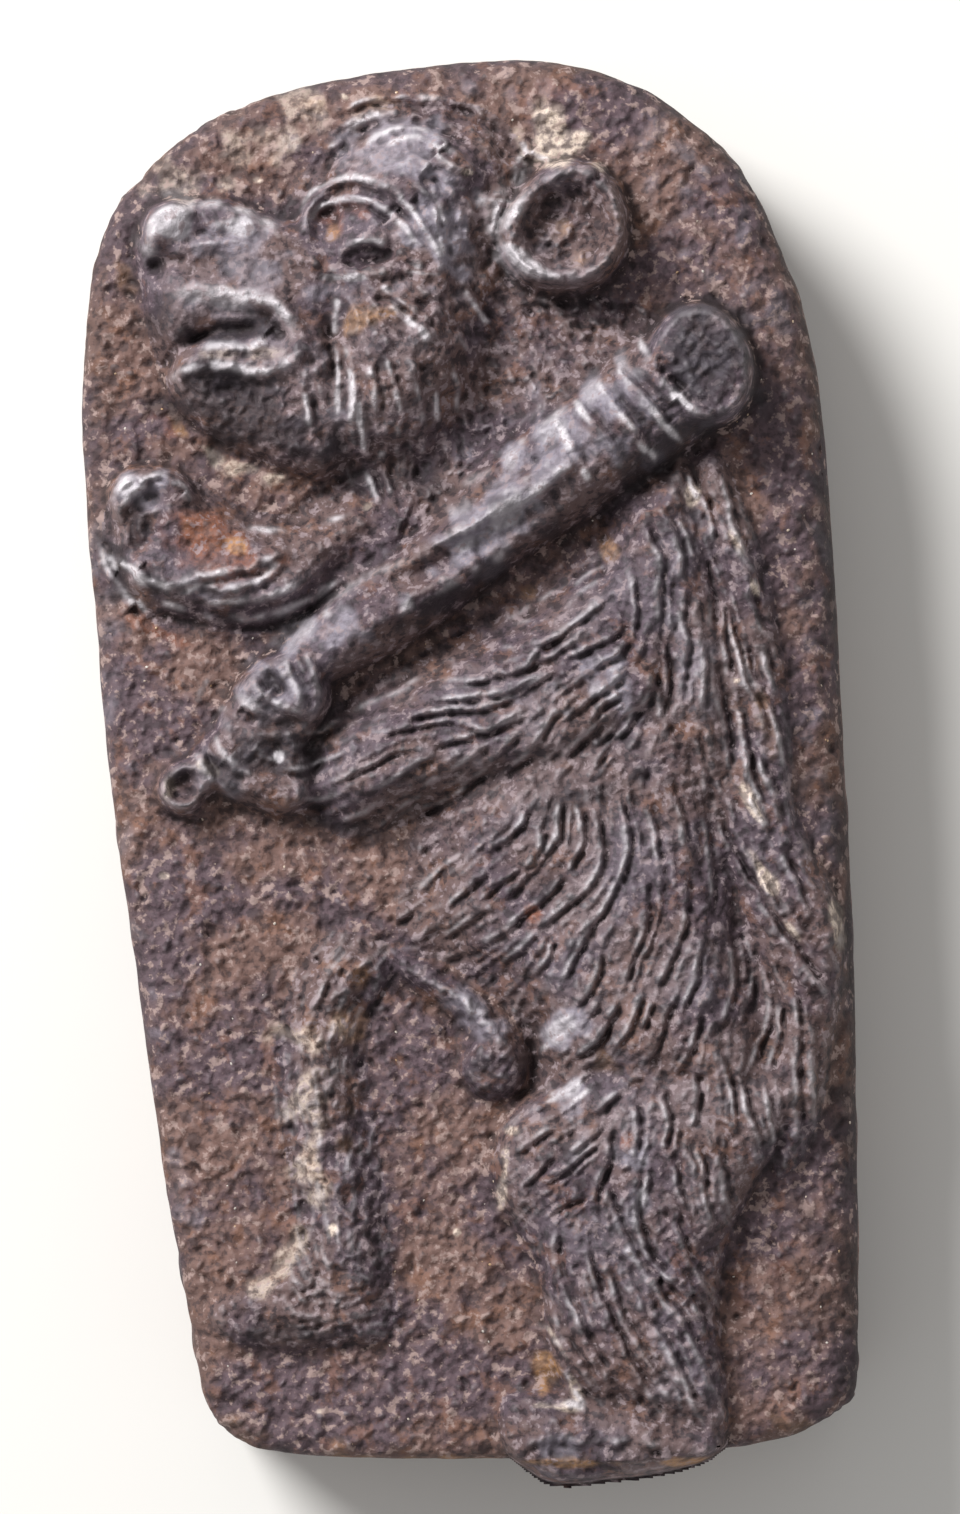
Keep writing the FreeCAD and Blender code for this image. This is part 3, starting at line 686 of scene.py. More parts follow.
@dataclass
class Head(Carved):
    """The bear's head and neck, with its open mouth, nose, eye and round ear."""

    ear_centre: Point = (565, 230)
    ear_radii: Point = (70, 64)

    def forms(self) -> list[Form | Bar | Cup]:
        """The neck, skull, jaw, muzzle, brow, nose and ear."""
        return [
            Form("neck", [
                470, 300, 520, 270, 560, 290, 610, 296, 650, 310, 690, 350, 650, 410, 600, 450, 540, 500, 495, 530,
                460, 560, 410, 600, 360, 630, 320, 620, 296, 560, 300, 500, 345, 470, 400, 460, 450, 430, 480, 390,
                490, 340,
            ], 0.55, 3.2, Flank.SOFT),
            Form("skull", [
                262, 214, 285, 199, 303, 170, 325, 138, 352, 116, 400, 101, 450, 99, 492, 112, 517, 137, 530, 165,
                526, 200, 518, 240, 516, 280, 512, 320, 505, 360, 492, 400, 472, 436, 445, 466, 408, 482, 365, 484,
                325, 478, 296, 466, 280, 440, 290, 350, 285, 310, 262, 270, 250, 240,
            ], 0.92, 3.4, Flank.SOFT),
            Form("lower_jaw", [
                166, 376, 176, 350, 198, 330, 240, 318, 290, 314, 330, 325, 350, 390, 348, 440, 330, 478, 300, 475,
                262, 461, 228, 446, 196, 426, 178, 405, 168, 390,
            ], 0.95, 1.5, Flank.STEEP, (0.0, -0.35)),
            Form("muzzle", [
                320, 215, 290, 220, 262, 213, 235, 201, 205, 199, 185, 200, 168, 208, 150, 223, 138, 244, 136, 264,
                139, 285, 144, 315, 150, 345, 160, 368, 176, 358, 206, 352, 240, 354, 272, 358, 300, 352, 325, 345,
                345, 300, 340, 250,
            ], 0.92, 1.5, Flank.STEEP, (0.15, 0.0)),
            Form("brow", [
                296, 232, 303, 210, 318, 192, 345, 178, 378, 172, 398, 184, 416, 206, 430, 234, 448, 262, 456, 286,
                436, 282, 424, 258, 408, 236, 396, 212, 382, 196, 358, 188, 335, 194, 318, 208, 308, 230,
            ], 0.88, 0.6),
            Form("eye", [338, 240, 350, 226, 368, 221, 386, 228, 396, 243, 386, 254, 366, 258, 348, 252], 0.86, 0.6),
            Form("nose", [
                148, 214, 160, 204, 177, 201, 196, 212, 191, 229, 176, 244, 157, 257, 146, 250, 142, 230,
            ], 0.87, 0.35),
            Cup("ear", self.ear_centre, self.ear_radii, -10, [
                (0.0, 0.56), (0.08, 0.55), (0.16, 0.51), (0.42, 0.52), (0.55, 0.60), (0.65, 0.80), (0.75, 0.98),
                (0.84, 0.96), (0.93, 0.66), (1.0, 0.10),
            ], 0.10),
        ]

    def lumps(self) -> list[Lump]:
        """The cheek, the eye's socket and the hollows of the muzzle and mouth."""
        return swellings([
            (400, 350, 90, 80, 0, 0.25), (352, 222, 44, 26, -10, -0.45), (368, 262, 46, 10, 0, -0.25),
            (420, 150, 60, 36, 20, 0.25), (230, 262, 60, 24, -5, -0.55), (292, 268, 30, 40, 0, -0.25),
            (240, 347, 54, 18, 0, -0.35), (236, 331, 44, 11, -4, -1.1), (270, 400, 80, 12, 6, -0.35),
            (498, 218, 14, 44, 8, 0.35), (528, 274, 26, 14, 40, 0.25), (548, 214, 22, 20, 0, -0.25),
            (157, 269, 17, 15, 0, -1.1), (175, 262, 18, 9, 0, -0.5), (155, 320, 18, 50, 0, -0.55),
            (165, 350, 20, 26, 0, -0.7), (235, 412, 60, 36, 20, -0.25), (500, 192, 20, 30, 20, 0.35),
            (455, 225, 18, 60, 0, -0.10), (540, 330, 80, 40, 0, -0.15), (496, 90, 10, 6, 0, -0.2),
        ])

    def strokes(self) -> list[Stroke]:
        """The lines of the head: bridge, lips, lids, forehead hair and cheek hair."""
        bold = [
            [184, 284, 200, 294, 220, 299, 242, 304, 263, 305, 277, 309, 288, 320, 298, 334, 303, 347, 297, 361,
             284, 370, 266, 376],
        ]
        bridge = [[190, 208, 222, 209, 250, 216, 272, 227, 296, 240]]
        lips = [
            [170, 388, 176, 378, 188, 370, 204, 366, 224, 367, 244, 372, 268, 376, 286, 368],
            [200, 352, 226, 348, 250, 351, 272, 344],
        ]
        cuts = [
            Stroke([188, 346, 202, 334, 222, 325, 248, 321, 270, 324, 282, 336, 285, 350], 5.0, -0.55),
            Stroke([180, 352, 196, 345, 212, 340], 5.0, -0.45), Stroke([160, 262, 176, 268, 200, 280], 5.0, -0.3),
            Stroke([204, 380, 236, 386, 270, 388], 7.0, -0.35),
            Stroke([320, 204, 345, 193, 370, 195, 394, 208, 412, 230], 3.2, -0.35),
            Stroke([342, 262, 362, 268, 384, 262, 398, 250], 3.6, -0.5),
            Stroke([143, 222, 136, 240, 137, 262], 3.5, -0.3), Stroke([430, 125, 450, 135, 480, 157], 3.2, -0.3),
            Stroke([388, 170, 414, 157, 435, 165, 450, 188], 4.0, -0.4),
            Stroke([340, 156, 368, 133, 408, 127, 442, 137, 470, 164], 4.0, -0.4),
            Stroke([330, 232, 340, 214, 364, 208, 388, 222, 404, 246], 3.4, -0.3),
            Stroke([196, 214, 202, 224, 206, 240], 3.0, -0.3),
            Stroke([180, 246, 205, 240, 240, 240, 268, 246], 3.5, -0.35),
        ]
        lids = [
            [296, 226, 312, 195, 345, 181, 377, 186, 407, 209, 427, 237, 443, 267, 448, 283],
            [306, 252, 311, 221, 333, 205, 366, 203, 393, 219, 413, 243, 428, 263], [342, 248, 364, 243, 390, 250],
        ]
        pouch = [
            [306, 258, 325, 272, 350, 280, 384, 276, 412, 271, 446, 282], [388, 305, 402, 318, 418, 332, 431, 350],
        ]
        rim = [[514, 182, 501, 203, 497, 228, 505, 254, 524, 274, 548, 285], [505, 192, 492, 214, 494, 240]]
        forehead = [
            [345, 135, 365, 122, 400, 118, 440, 122, 475, 148, 500, 165],
            [385, 152, 400, 145, 425, 145, 445, 163, 457, 180], [330, 113, 365, 103, 400, 99, 450, 101, 485, 116],
            [360, 150, 385, 136, 420, 133, 445, 145, 466, 170], [318, 175, 330, 152, 348, 138],
            [425, 182, 436, 205, 445, 232], [412, 178, 428, 205, 438, 240, 447, 268], [520, 140, 535, 158, 560, 165],
        ]
        cheek = [
            [445, 310, 458, 330, 470, 353], [465, 290, 480, 310, 490, 325], [345, 340, 352, 365, 355, 395, 356, 430],
            [368, 368, 374, 390, 376, 425], [385, 363, 392, 382, 397, 412, 398, 440],
            [405, 360, 416, 377, 419, 400, 420, 430], [320, 322, 325, 352, 327, 385], [335, 345, 339, 375, 340, 420],
            [305, 372, 310, 400, 314, 430], [430, 375, 438, 395, 440, 425], [455, 372, 460, 392, 458, 415],
            [380, 290, 400, 300, 418, 315], [412, 292, 432, 305, 446, 325], [360, 400, 364, 430, 365, 456],
            [340, 300, 336, 320, 335, 338], [362, 470, 372, 485, 381, 505], [382, 450, 385, 475, 392, 495],
        ]
        return (
            strands(bold, 7.0, 0.42, 0.1, 1.0)
            + strands(bridge, 6.5, 0.28, 0.1, 0.9)
            + strands(lips, 5.0, 0.32, 0.1, 1.0)
            + cuts
            + strands(lids, 3.8, 0.28, 0.16, 1.2)
            + strands(pouch, 5.0, 0.30, 0.08, 1.6)
            + strands(rim, 7.0, 0.25, 0.05, 0.8)
            + strands(forehead, 3.8, 0.20, 0.2, 1.1)
            + strands(cheek, 3.4, 0.18, 0.2, 1.7)
        )

    def stains(self) -> list[Stain]:
        """Pale nose (part painted highlight), rusty socket, painted shade, grey tone and painted sheen of muzzle and
        brow.
        """
        return (
            # Pale nose, lids and lips: part wear, part painted highlight
            patches(Tint.CREST, [
                (168, 227, 33, 32, 0.85), (236, 226, 60, 16, 0.8, 14), (240, 302, 66, 12, 0.6, 8),
                (505, 208, 26, 52, 1.3, 15), (526, 268, 40, 18, 1.1, 45), (350, 281, 44, 7, 1.2, 2),
                (424, 277, 30, 6, 1.0, 6), (362, 245, 16, 4, 1.0),
            ])
            + patches(Tint.LIME, [(240, 356, 50, 9, 0.4), (470, 176, 11, 6, 1.3)])
            # Painted shade: muzzle hollow, nostril, mouth, under the eye, ear bowl, under the jaw and behind the ear
            + patches(Tint.DARK, [
                (236, 262, 56, 20, 0.5), (160, 318, 16, 60, 0.8), (370, 254, 24, 6, 1.0),
                (548, 212, 30, 26, 0.6, -40), (238, 331, 46, 11, 1.5, -4), (186, 340, 20, 14, 1.0, -30),
                (157, 270, 18, 15, 0.9), (235, 420, 100, 44, 1.6, 20), (400, 480, 130, 30, 0.8, 10),
                (130, 300, 16, 70, 0.6), (620, 270, 26, 44, 0.5, -30),
            ])
            # Grey tone and painted sheen of the muzzle, brow and cheek
            + patches(Tint.GRAPHITE, [
                (240, 240, 80, 40, 0.9), (250, 310, 70, 50, 0.6), (436, 222, 48, 90, 1.2, -20),
                (390, 145, 100, 44, 0.9), (360, 290, 70, 24, 0.9), (545, 250, 60, 50, 0.6), (320, 370, 50, 90, 0.5),
            ])
            + patches(Tint.RUST, [(345, 222, 40, 20, 0.7), (438, 166, 18, 12, 0.5)])
            + patches(Tint.OCHRE, [
                (330, 240, 14, 20, 0.6), (368, 330, 34, 34, 0.75), (345, 345, 12, 14, 0.8), (528, 228, 8, 10, 0.6),
                (570, 240, 36, 34, 0.55),
            ])
        )

    def fur(self) -> list[Fur]:
        """The fine hair of the cheek."""
        return [Fur(["skull"], 15, 30, 2.4, 0.05, 21), Fur(["neck"], 17, 22, 2.6, 0.06, 22)]


@dataclass
class Club(Carved):
    """The club: a bar that swells to a ringed head with a dished end, and a small ringed butt."""

    head_centre: Point = (700, 367)
    head_radii: Point = (52, 61)
    butt_centre: Point = (184, 787)
    butt_radii: Point = (26, 26)

    def forms(self) -> list[Form | Bar | Cup]:
        """The bar and its two round ends."""
        axis = [
            196, 780, 212, 766, 240, 738, 270, 704, 303, 668, 340, 638, 373, 617, 412, 590, 450, 558, 490, 524,
            530, 493, 564, 466, 605, 436, 642, 408, 676, 383, 692, 371,
        ]
        half_widths = [22, 24, 28, 30, 31, 37, 42, 44, 45, 47, 51, 56, 57, 60, 58, 54]
        rise_shares = [
            0.47, 0.49, 0.54, 0.57, 0.60, 0.66, 0.70, 0.73, 0.76, 0.79, 0.84, 0.88, 0.92, 0.96, 0.98, 0.97,
        ]
        return [
            Bar("club_shaft", axis, half_widths, rise_shares),
            Cup("club_head", self.head_centre, self.head_radii, -20, [
                (0.0, 0.94), (0.50, 0.94), (0.80, 0.96), (0.92, 0.98), (0.97, 0.80), (1.0, 0.40),
            ]),
            Cup("club_butt", self.butt_centre, self.butt_radii, 0, [
                (0.0, 0.48), (0.40, 0.50), (0.56, 0.66), (0.68, 0.95), (0.80, 1.0), (0.92, 0.80), (1.0, 0.20),
            ], 0.10),
        ]

    def lumps(self) -> list[Lump]:
        """The uneven dish at the club's end."""
        return swellings([
            (700, 345, 26, 20, 0, -0.12), (722, 378, 22, 24, 0, 0.10), (712, 406, 12, 9, 30, 0.16),
            (682, 350, 10, 20, -20, 0.10), (612, 372, 34, 12, -38, 0.12),
        ])

    def strokes(self) -> list[Stroke]:
        """The rings of the head and the flutes of the shaft."""
        rings = [
            [640, 332, 642, 352, 656, 376, 676, 400, 700, 420], [616, 358, 622, 376, 642, 402, 664, 430, 686, 448],
            [596, 378, 604, 398, 624, 426, 646, 454, 660, 466], [576, 398, 584, 420, 600, 444, 618, 468, 634, 484],
            [556, 416, 566, 438, 580, 464, 596, 490],
        ]
        grooves = [
            Stroke([648, 328, 652, 350, 668, 378, 690, 404, 712, 424], 4.4, -0.26),
            Stroke([628, 345, 634, 366, 652, 392, 674, 418, 694, 436], 5.0, -0.24),
            Stroke([606, 368, 613, 388, 633, 414, 655, 442, 672, 458], 4.6, -0.22),
            Stroke([586, 388, 594, 409, 612, 436, 632, 461], 4.6, -0.20),
        ]
        flutes = [
            [461, 494, 490, 470, 518, 447, 548, 428, 574, 408],
            [343, 596, 405, 565, 445, 544, 486, 521, 549, 484, 576, 464],
            [349, 638, 384, 620, 418, 603, 460, 583, 493, 564, 532, 533], [320, 620, 343, 596, 372, 578],
        ]
        creases = [
            Stroke([456, 506, 500, 488, 545, 458, 566, 440], 5.0, -0.55),
            Stroke([400, 590, 440, 572, 486, 548, 530, 518, 574, 494], 6.0, -0.55),
            Stroke([225, 712, 236, 726, 250, 748], 3.6, -0.3), Stroke([204, 744, 214, 758, 228, 776], 3.6, -0.35),
            Stroke([178, 745, 198, 706, 207, 686, 230, 656], 4.5, 0.14, 0.0, 0.3),
        ]
        butt = [
            [214, 735, 224, 752, 240, 768], [196, 752, 204, 764, 216, 784], [162, 780, 168, 798, 182, 811, 200, 813],
        ]
        return (
            strands(rings, 4.2, 0.24, 0.16, 2.4)
            + grooves
            + strands(flutes, 6.0, 0.34, 0.15, 0.8)
            + creases
            + strands(butt, 4.0, 0.26, 0.2, 0.6)
        )

    def stains(self) -> list[Stain]:
        """The club's grey tone and painted sheen, its pale crests (part painted highlight) and the painted shade of
        its dished end.
        """
        return (
            # Grey tone and painted sheen of the club
            patches(Tint.GRAPHITE, [
                (600, 430, 90, 70, 1.0, -38), (470, 545, 130, 50, 1.0, -38), (345, 630, 80, 44, 0.9, -38),
                (520, 480, 90, 50, 1.1, -38), (700, 370, 60, 66, 0.8), (240, 745, 70, 50, 0.7, -38),
            ])
            # Pale crests along the shaft: part wear, part painted highlight
            + patches(Tint.CREST, [
                (600, 388, 110, 22, 0.45, -40), (480, 486, 110, 18, 0.50, -36), (380, 588, 120, 22, 0.52, -32),
                (490, 530, 100, 13, 0.55, -34),
            ])
            # Painted shade: in the dished end, in the grooves between the rings and along the shaft's lower side
            + patches(Tint.DARK, [
                (704, 366, 66, 70, 1.2), (648, 466, 90, 28, 1.4, -38), (566, 524, 80, 20, 1.0, -36),
                (655, 392, 40, 8, 1.1, 50), (632, 414, 42, 9, 1.0, 50), (612, 438, 36, 8, 0.9, 50),
                (592, 456, 28, 7, 0.8, 50), (646, 440, 60, 20, 0.9, -40), (440, 604, 130, 22, 1.3, -36),
                (474, 500, 26, 9, 0.9, -36), (180, 776, 18, 12, 0.9),
            ])
            + patches(Tint.OCHRE, [(430, 595, 20, 12, 0.4, -38)])
            + patches(Tint.LIME, [(170, 790, 7, 18, 0.7, 10)])
        )


@dataclass
class Arms(Carved):
    """The raised paw with its claws, and the shaggy arm whose paw holds the club."""

    def forms(self) -> list[Form | Bar | Cup]:
        """The raised paw, claws, forearm, gripping paw and fingers."""
        return [
            Form("raised_paw", [
                101, 540, 104, 512, 114, 490, 135, 476, 165, 470, 195, 480, 220, 496, 250, 508, 285, 514, 320, 506,
                352, 494, 390, 498, 402, 515, 380, 548, 350, 580, 325, 604, 300, 622, 265, 631, 230, 632, 190, 628,
                158, 624, 130, 608, 111, 585,
            ], 0.9, 1.5, Flank.SOFT, (-0.30, 0.0)),
            Form("raised_claws", [
                108, 506, 112, 484, 128, 470, 150, 466, 172, 470, 190, 482, 200, 502, 186, 507, 166, 500, 150, 503,
                137, 514, 130, 528, 116, 526,
            ], 1.1, 0.45),
            Form("forearm", [
                306, 735, 330, 708, 362, 690, 400, 664, 450, 634, 500, 608, 555, 572, 600, 546, 630, 524, 655, 516,
                682, 524, 698, 560, 704, 600, 703, 650, 696, 700, 680, 729, 640, 757, 600, 777, 560, 788, 500, 798,
                440, 813, 380, 832, 340, 836, 312, 818, 280, 814, 245, 802, 268, 788, 296, 768,
            ], 0.9, 2.2, Flank.SOFT, (0.08, 0.0)),
            Form("gripping_paw", [
                226, 702, 250, 676, 276, 657, 302, 648, 322, 668, 330, 695, 322, 725, 308, 748, 318, 775, 312, 802,
                290, 815, 262, 812, 238, 802, 218, 790, 206, 768, 212, 734,
            ], 0.80, 1.0),
            Form("gripping_fingers", [
                232, 690, 250, 668, 272, 654, 300, 646, 320, 664, 332, 692, 326, 716, 306, 726, 284, 722, 262, 716,
                244, 706,
            ], 0.78, 0.6),
        ]

    def lumps(self) -> list[Lump]:
        """The palm's hollow and the pits round the gripping paw."""
        return swellings([
            (215, 540, 90, 36, -4, -0.45), (148, 530, 16, 30, 15, -0.8), (180, 605, 60, 14, 10, -0.35),
            (280, 750, 13, 14, 0, -0.6), (262, 690, 12, 8, 40, 0.15), (300, 672, 10, 14, -30, 0.15),
            (560, 650, 110, 60, -25, 0.2), (360, 760, 60, 40, 0, -0.1),
        ])

    def strokes(self) -> list[Stroke]:
        """The fingers, and the long hair of the arm."""
        paw = [
            [104, 545, 120, 566, 138, 573, 150, 590],
            [112, 556, 138, 577, 172, 586, 200, 577, 235, 572, 265, 566, 302, 546],
            [175, 599, 203, 585, 235, 590, 262, 581, 298, 554], [195, 606, 240, 601, 275, 598, 305, 582],
            [240, 532, 285, 534, 325, 524, 355, 512], [102, 540, 110, 568, 130, 595, 150, 615],
            [225, 617, 262, 618, 310, 602, 352, 576], [160, 601, 190, 613, 216, 618],
        ]
        claws = [
            [116, 506, 122, 492, 136, 480], [126, 514, 136, 498, 152, 488], [142, 488, 154, 476, 172, 474],
            [176, 482, 188, 490, 198, 502],
        ]
        cuts = [
            Stroke([168, 502, 150, 507, 138, 520, 134, 540, 140, 554], 5.0, -0.5),
            Stroke([140, 583, 165, 596, 195, 592], 6.0, -0.4), Stroke([268, 662, 274, 680, 286, 698], 4.4, -0.5),
            Stroke([232, 716, 252, 724, 285, 728, 318, 722], 4.4, -0.45),
            Stroke([245, 760, 262, 772, 285, 772], 4.0, -0.25),
        ]
        fingers = [
            [248, 673, 266, 695, 285, 708, 307, 713], [284, 649, 294, 685, 308, 713], [306, 652, 314, 676, 320, 702],
            [209, 730, 216, 714, 230, 708], [238, 692, 246, 704, 258, 712],
        ]
        arm = [
            [575, 590, 590, 575, 605, 565], [520, 675, 540, 648, 570, 625, 590, 610, 605, 595],
            [560, 660, 590, 645, 610, 635, 625, 620], [460, 652, 500, 648, 540, 643, 560, 632],
            [435, 685, 470, 678, 500, 672, 520, 668, 548, 655], [420, 700, 460, 698, 490, 692, 515, 685, 535, 673],
            [400, 715, 450, 710, 480, 705, 520, 690, 560, 665],
            [360, 735, 400, 725, 450, 722, 480, 728, 500, 720, 525, 705], [430, 745, 460, 738, 500, 725, 530, 710],
            [325, 785, 345, 775, 370, 765, 390, 752, 420, 748], [370, 790, 400, 775, 420, 762, 440, 753],
            [400, 800, 420, 790, 440, 778, 460, 765, 485, 745], [380, 828, 400, 810, 425, 795],
            [455, 790, 480, 775, 495, 755, 510, 740, 520, 732],
            [500, 785, 515, 765, 530, 750, 540, 735, 548, 720, 555, 705],
            [560, 720, 575, 705, 590, 695, 610, 680, 625, 665], [560, 760, 575, 745, 590, 730, 605, 710],
            [615, 740, 625, 725, 630, 705], [635, 705, 645, 690, 650, 670], [655, 720, 655, 700, 650, 680],
            [305, 735, 325, 728, 345, 718], [280, 770, 305, 767, 330, 760, 345, 750], [500, 622, 530, 610, 560, 590],
            [470, 638, 505, 628, 535, 622], [560, 620, 580, 598, 604, 580], [400, 690, 440, 672, 475, 662],
            [350, 712, 385, 698, 415, 688], [585, 720, 600, 702, 618, 690], [595, 665, 612, 655, 630, 640],
            [300, 800, 325, 800, 350, 790], [340, 822, 365, 812, 390, 798], [420, 812, 445, 800, 470, 785],
        ]
        return (
            strands(paw, 4.2, 0.24, 0.24, 1.1)
            + strands(claws, 3.4, 0.22, 0.15, 0.6)
            + cuts
            + strands(fingers, 3.6, 0.22, 0.16, 0.6)
            + strands(arm, 3.2, 0.15, 0.26, 0.5)
        )

    def stains(self) -> list[Stain]:
        """The rusty palm, the pale claws (part wear, part painted highlight), painted shade, and the arm's grey tone
        and painted sheen.
        """
        return (
            patches(Tint.RUST, [(205, 538, 80, 44, 1.1), (245, 560, 60, 24, 0.9, -10), (150, 628, 40, 8, 0.8, 25)])
            + patches(Tint.OCHRE, [
                (232, 545, 26, 14, 0.8), (185, 530, 14, 12, 0.7), (330, 842, 20, 8, 0.6, 40),
                (520, 600, 34, 10, 0.5, -30),
            ])
            # Grey tone and painted sheen of the paws and the arm
            + patches(Tint.GRAPHITE, [
                (140, 492, 50, 38, 1.3), (190, 590, 90, 34, 0.7), (285, 690, 60, 40, 0.8), (610, 680, 60, 50, 0.8),
                (450, 740, 120, 50, 0.5, -10),
            ])
            # Pale claws and knuckles: part wear, part painted highlight
            + patches(Tint.CREST, [
                (132, 490, 34, 24, 1.1, 30), (246, 706, 16, 12, 0.7), (279, 756, 6, 6, 1.3),
                (600, 690, 44, 16, 0.5, -35),
            ])
            # Painted shade: under the raised paw and its claws, in the palm, round the gripping paw and under the
            # forearm
            + patches(Tint.DARK, [
                (160, 592, 66, 24, 1.0, 12), (116, 562, 16, 42, 1.4, -20), (143, 528, 20, 32, 1.3, 15),
                (230, 618, 80, 14, 0.8, 4), (262, 752, 60, 38, 1.5), (275, 684, 16, 14, 1.2, 40),
                (330, 825, 110, 16, 0.9, 10), (600, 790, 120, 14, 0.8, -20),
            ])
            + patches(Tint.LIME, [(208, 767, 14, 6, 0.9, 30), (737, 682, 6, 5, 1.2)])
        )

    def fur(self) -> list[Fur]:
        """The fine hair of the arm."""
        return [Fur(["forearm"], 20, 38, 2.8, 0.08, 31), Fur(["gripping_paw"], 18, 22, 2.8, 0.06, 32)]


@dataclass
class Trunk(Carved):
    """The bear's shaggy shoulder, body and back, and the ridge under its belly."""

    def forms(self) -> list[Form | Bar | Cup]:
        """The mane, torso, belly ridge and shoulder."""
        return [
            Form("back_mane", [
                700, 452, 722, 456, 742, 500, 763, 556, 781, 640, 789, 720, 794, 800, 812, 850, 832, 890, 846, 945,
                842, 990, 832, 1040, 824, 1095, 812, 1135, 796, 1165, 775, 1176, 770, 1100, 760, 1000, 735, 900,
                715, 800, 710, 700, 700, 600, 690, 500,
            ], 1.0, 1.5),
            Form("torso", [
                404, 868, 415, 825, 440, 770, 540, 700, 620, 660, 700, 640, 735, 740, 750, 850, 758, 920, 774, 990,
                792, 1050, 802, 1105, 795, 1140, 740, 1135, 680, 1125, 610, 1112, 560, 1106, 532, 1100, 527, 1060,
                514, 1018, 482, 988, 442, 960, 402, 950, 396, 905,
            ], 0.88, 3.0, Flank.SOFT, (0.14, 0.03)),
            Form("belly_ridge", [
                396, 955, 418, 958, 446, 972, 476, 992, 500, 1012, 518, 1034, 527, 1062, 520, 1086, 500, 1099,
                476, 1094, 462, 1074, 464, 1050, 474, 1036, 456, 1016, 430, 996, 402, 978,
            ], 1.0, 0.8),
            Form("shoulder", [
                600, 500, 640, 460, 680, 440, 706, 460, 722, 510, 738, 565, 750, 620, 757, 680, 757, 740, 750, 800,
                738, 846, 716, 846, 680, 800, 640, 760, 600, 700, 580, 600,
            ], 0.95, 2.4, Flank.SOFT),
        ]

    def lumps(self) -> list[Lump]:
        """The swell of the flank and the hollow beside the belly ridge."""
        return swellings([
            (600, 930, 110, 90, 0, 0.15), (680, 1010, 70, 90, 0, 0.1), (470, 890, 60, 50, 0, -0.25),
            (536, 1060, 16, 44, 10, -0.45), (558, 1030, 20, 22, 0, 0.15), (700, 850, 16, 60, 10, -0.15),
        ])

    def strokes(self) -> list[Stroke]:
        """The long hair of the shoulder, back, body and belly."""
        shoulder = [
            [625, 565, 630, 585, 633, 610, 630, 640], [640, 525, 650, 545, 657, 570, 657, 600, 655, 640],
            [675, 520, 685, 540, 690, 560], [680, 590, 680, 620, 685, 640, 683, 670, 678, 700],
            [665, 640, 663, 680, 658, 720], [700, 500, 710, 520, 715, 545], [655, 508, 668, 530, 676, 560, 678, 585],
            [700, 560, 706, 595, 708, 630], [715, 600, 722, 640, 728, 680], [700, 640, 704, 680, 700, 720],
            [716, 690, 724, 730, 726, 770], [735, 700, 742, 740, 744, 780], [690, 735, 700, 765, 706, 800],
            [690, 476, 697, 496, 706, 515],
        ]
        back = [
            [722, 470, 728, 500, 740, 540, 755, 575, 765, 605], [735, 545, 750, 570, 760, 595],
            [745, 580, 755, 610, 770, 640, 778, 665], [720, 600, 730, 630, 740, 660, 755, 700, 760, 740],
            [765, 700, 775, 740, 782, 770], [755, 760, 765, 780, 775, 800], [745, 795, 755, 815, 765, 830],
            [728, 850, 740, 870, 755, 890, 770, 915, 790, 945, 810, 975, 826, 990], [800, 960, 815, 980, 828, 1000],
            [828, 885, 830, 905, 838, 930, 842, 950], [810, 1045, 812, 1080, 815, 1100],
            [760, 640, 768, 670, 776, 700], [742, 640, 752, 672, 764, 700], [780, 850, 795, 880, 812, 915],
            [735, 745, 748, 775, 756, 810], [716, 820, 728, 850, 745, 880],
        ]
        body = [
            [490, 850, 505, 838, 518, 822, 522, 808], [415, 890, 440, 868, 462, 850],
            [500, 900, 515, 885, 535, 862, 552, 840, 556, 815, 560, 800], [480, 900, 500, 880, 520, 865],
            [505, 925, 530, 905, 550, 890, 562, 872],
            [592, 815, 600, 835, 600, 860, 590, 880, 575, 895, 560, 905, 530, 930],
            [615, 875, 605, 900, 595, 915, 580, 930], [530, 975, 545, 955, 548, 940],
            [560, 985, 570, 960, 580, 940, 590, 925], [640, 880, 645, 900, 640, 925, 630, 955, 620, 985],
            [680, 870, 682, 900, 680, 930, 670, 955, 655, 985], [700, 810, 705, 850, 708, 890, 706, 915],
            [700, 930, 695, 960, 690, 985, 680, 1005], [725, 930, 730, 955, 732, 985, 725, 1010, 710, 1030],
            [745, 930, 752, 960, 748, 1000, 740, 1020], [760, 960, 768, 990, 765, 1020, 755, 1050, 750, 1070],
            [775, 1000, 776, 1040, 768, 1075], [790, 990, 796, 1030, 795, 1080],
            [575, 800, 580, 825, 578, 850, 566, 872], [620, 800, 626, 830, 624, 860, 615, 885],
            [645, 800, 654, 830, 656, 865], [665, 780, 678, 815, 682, 850], [640, 990, 628, 1020, 612, 1045],
            [670, 1000, 656, 1035, 640, 1060], [700, 1010, 690, 1040, 672, 1070], [598, 950, 590, 980, 572, 1010],
            [615, 1000, 600, 1030, 580, 1055], [540, 830, 536, 850, 520, 868], [445, 905, 470, 885, 490, 868],
            [440, 935, 470, 918, 496, 905], [470, 950, 500, 932, 520, 918], [500, 965, 520, 945, 535, 930],
            [560, 1065, 590, 1045, 605, 1022], [545, 1095, 570, 1085, 592, 1072],
        ]
        ridge = [[402, 966, 430, 976, 460, 998, 482, 1018, 500, 1038]]
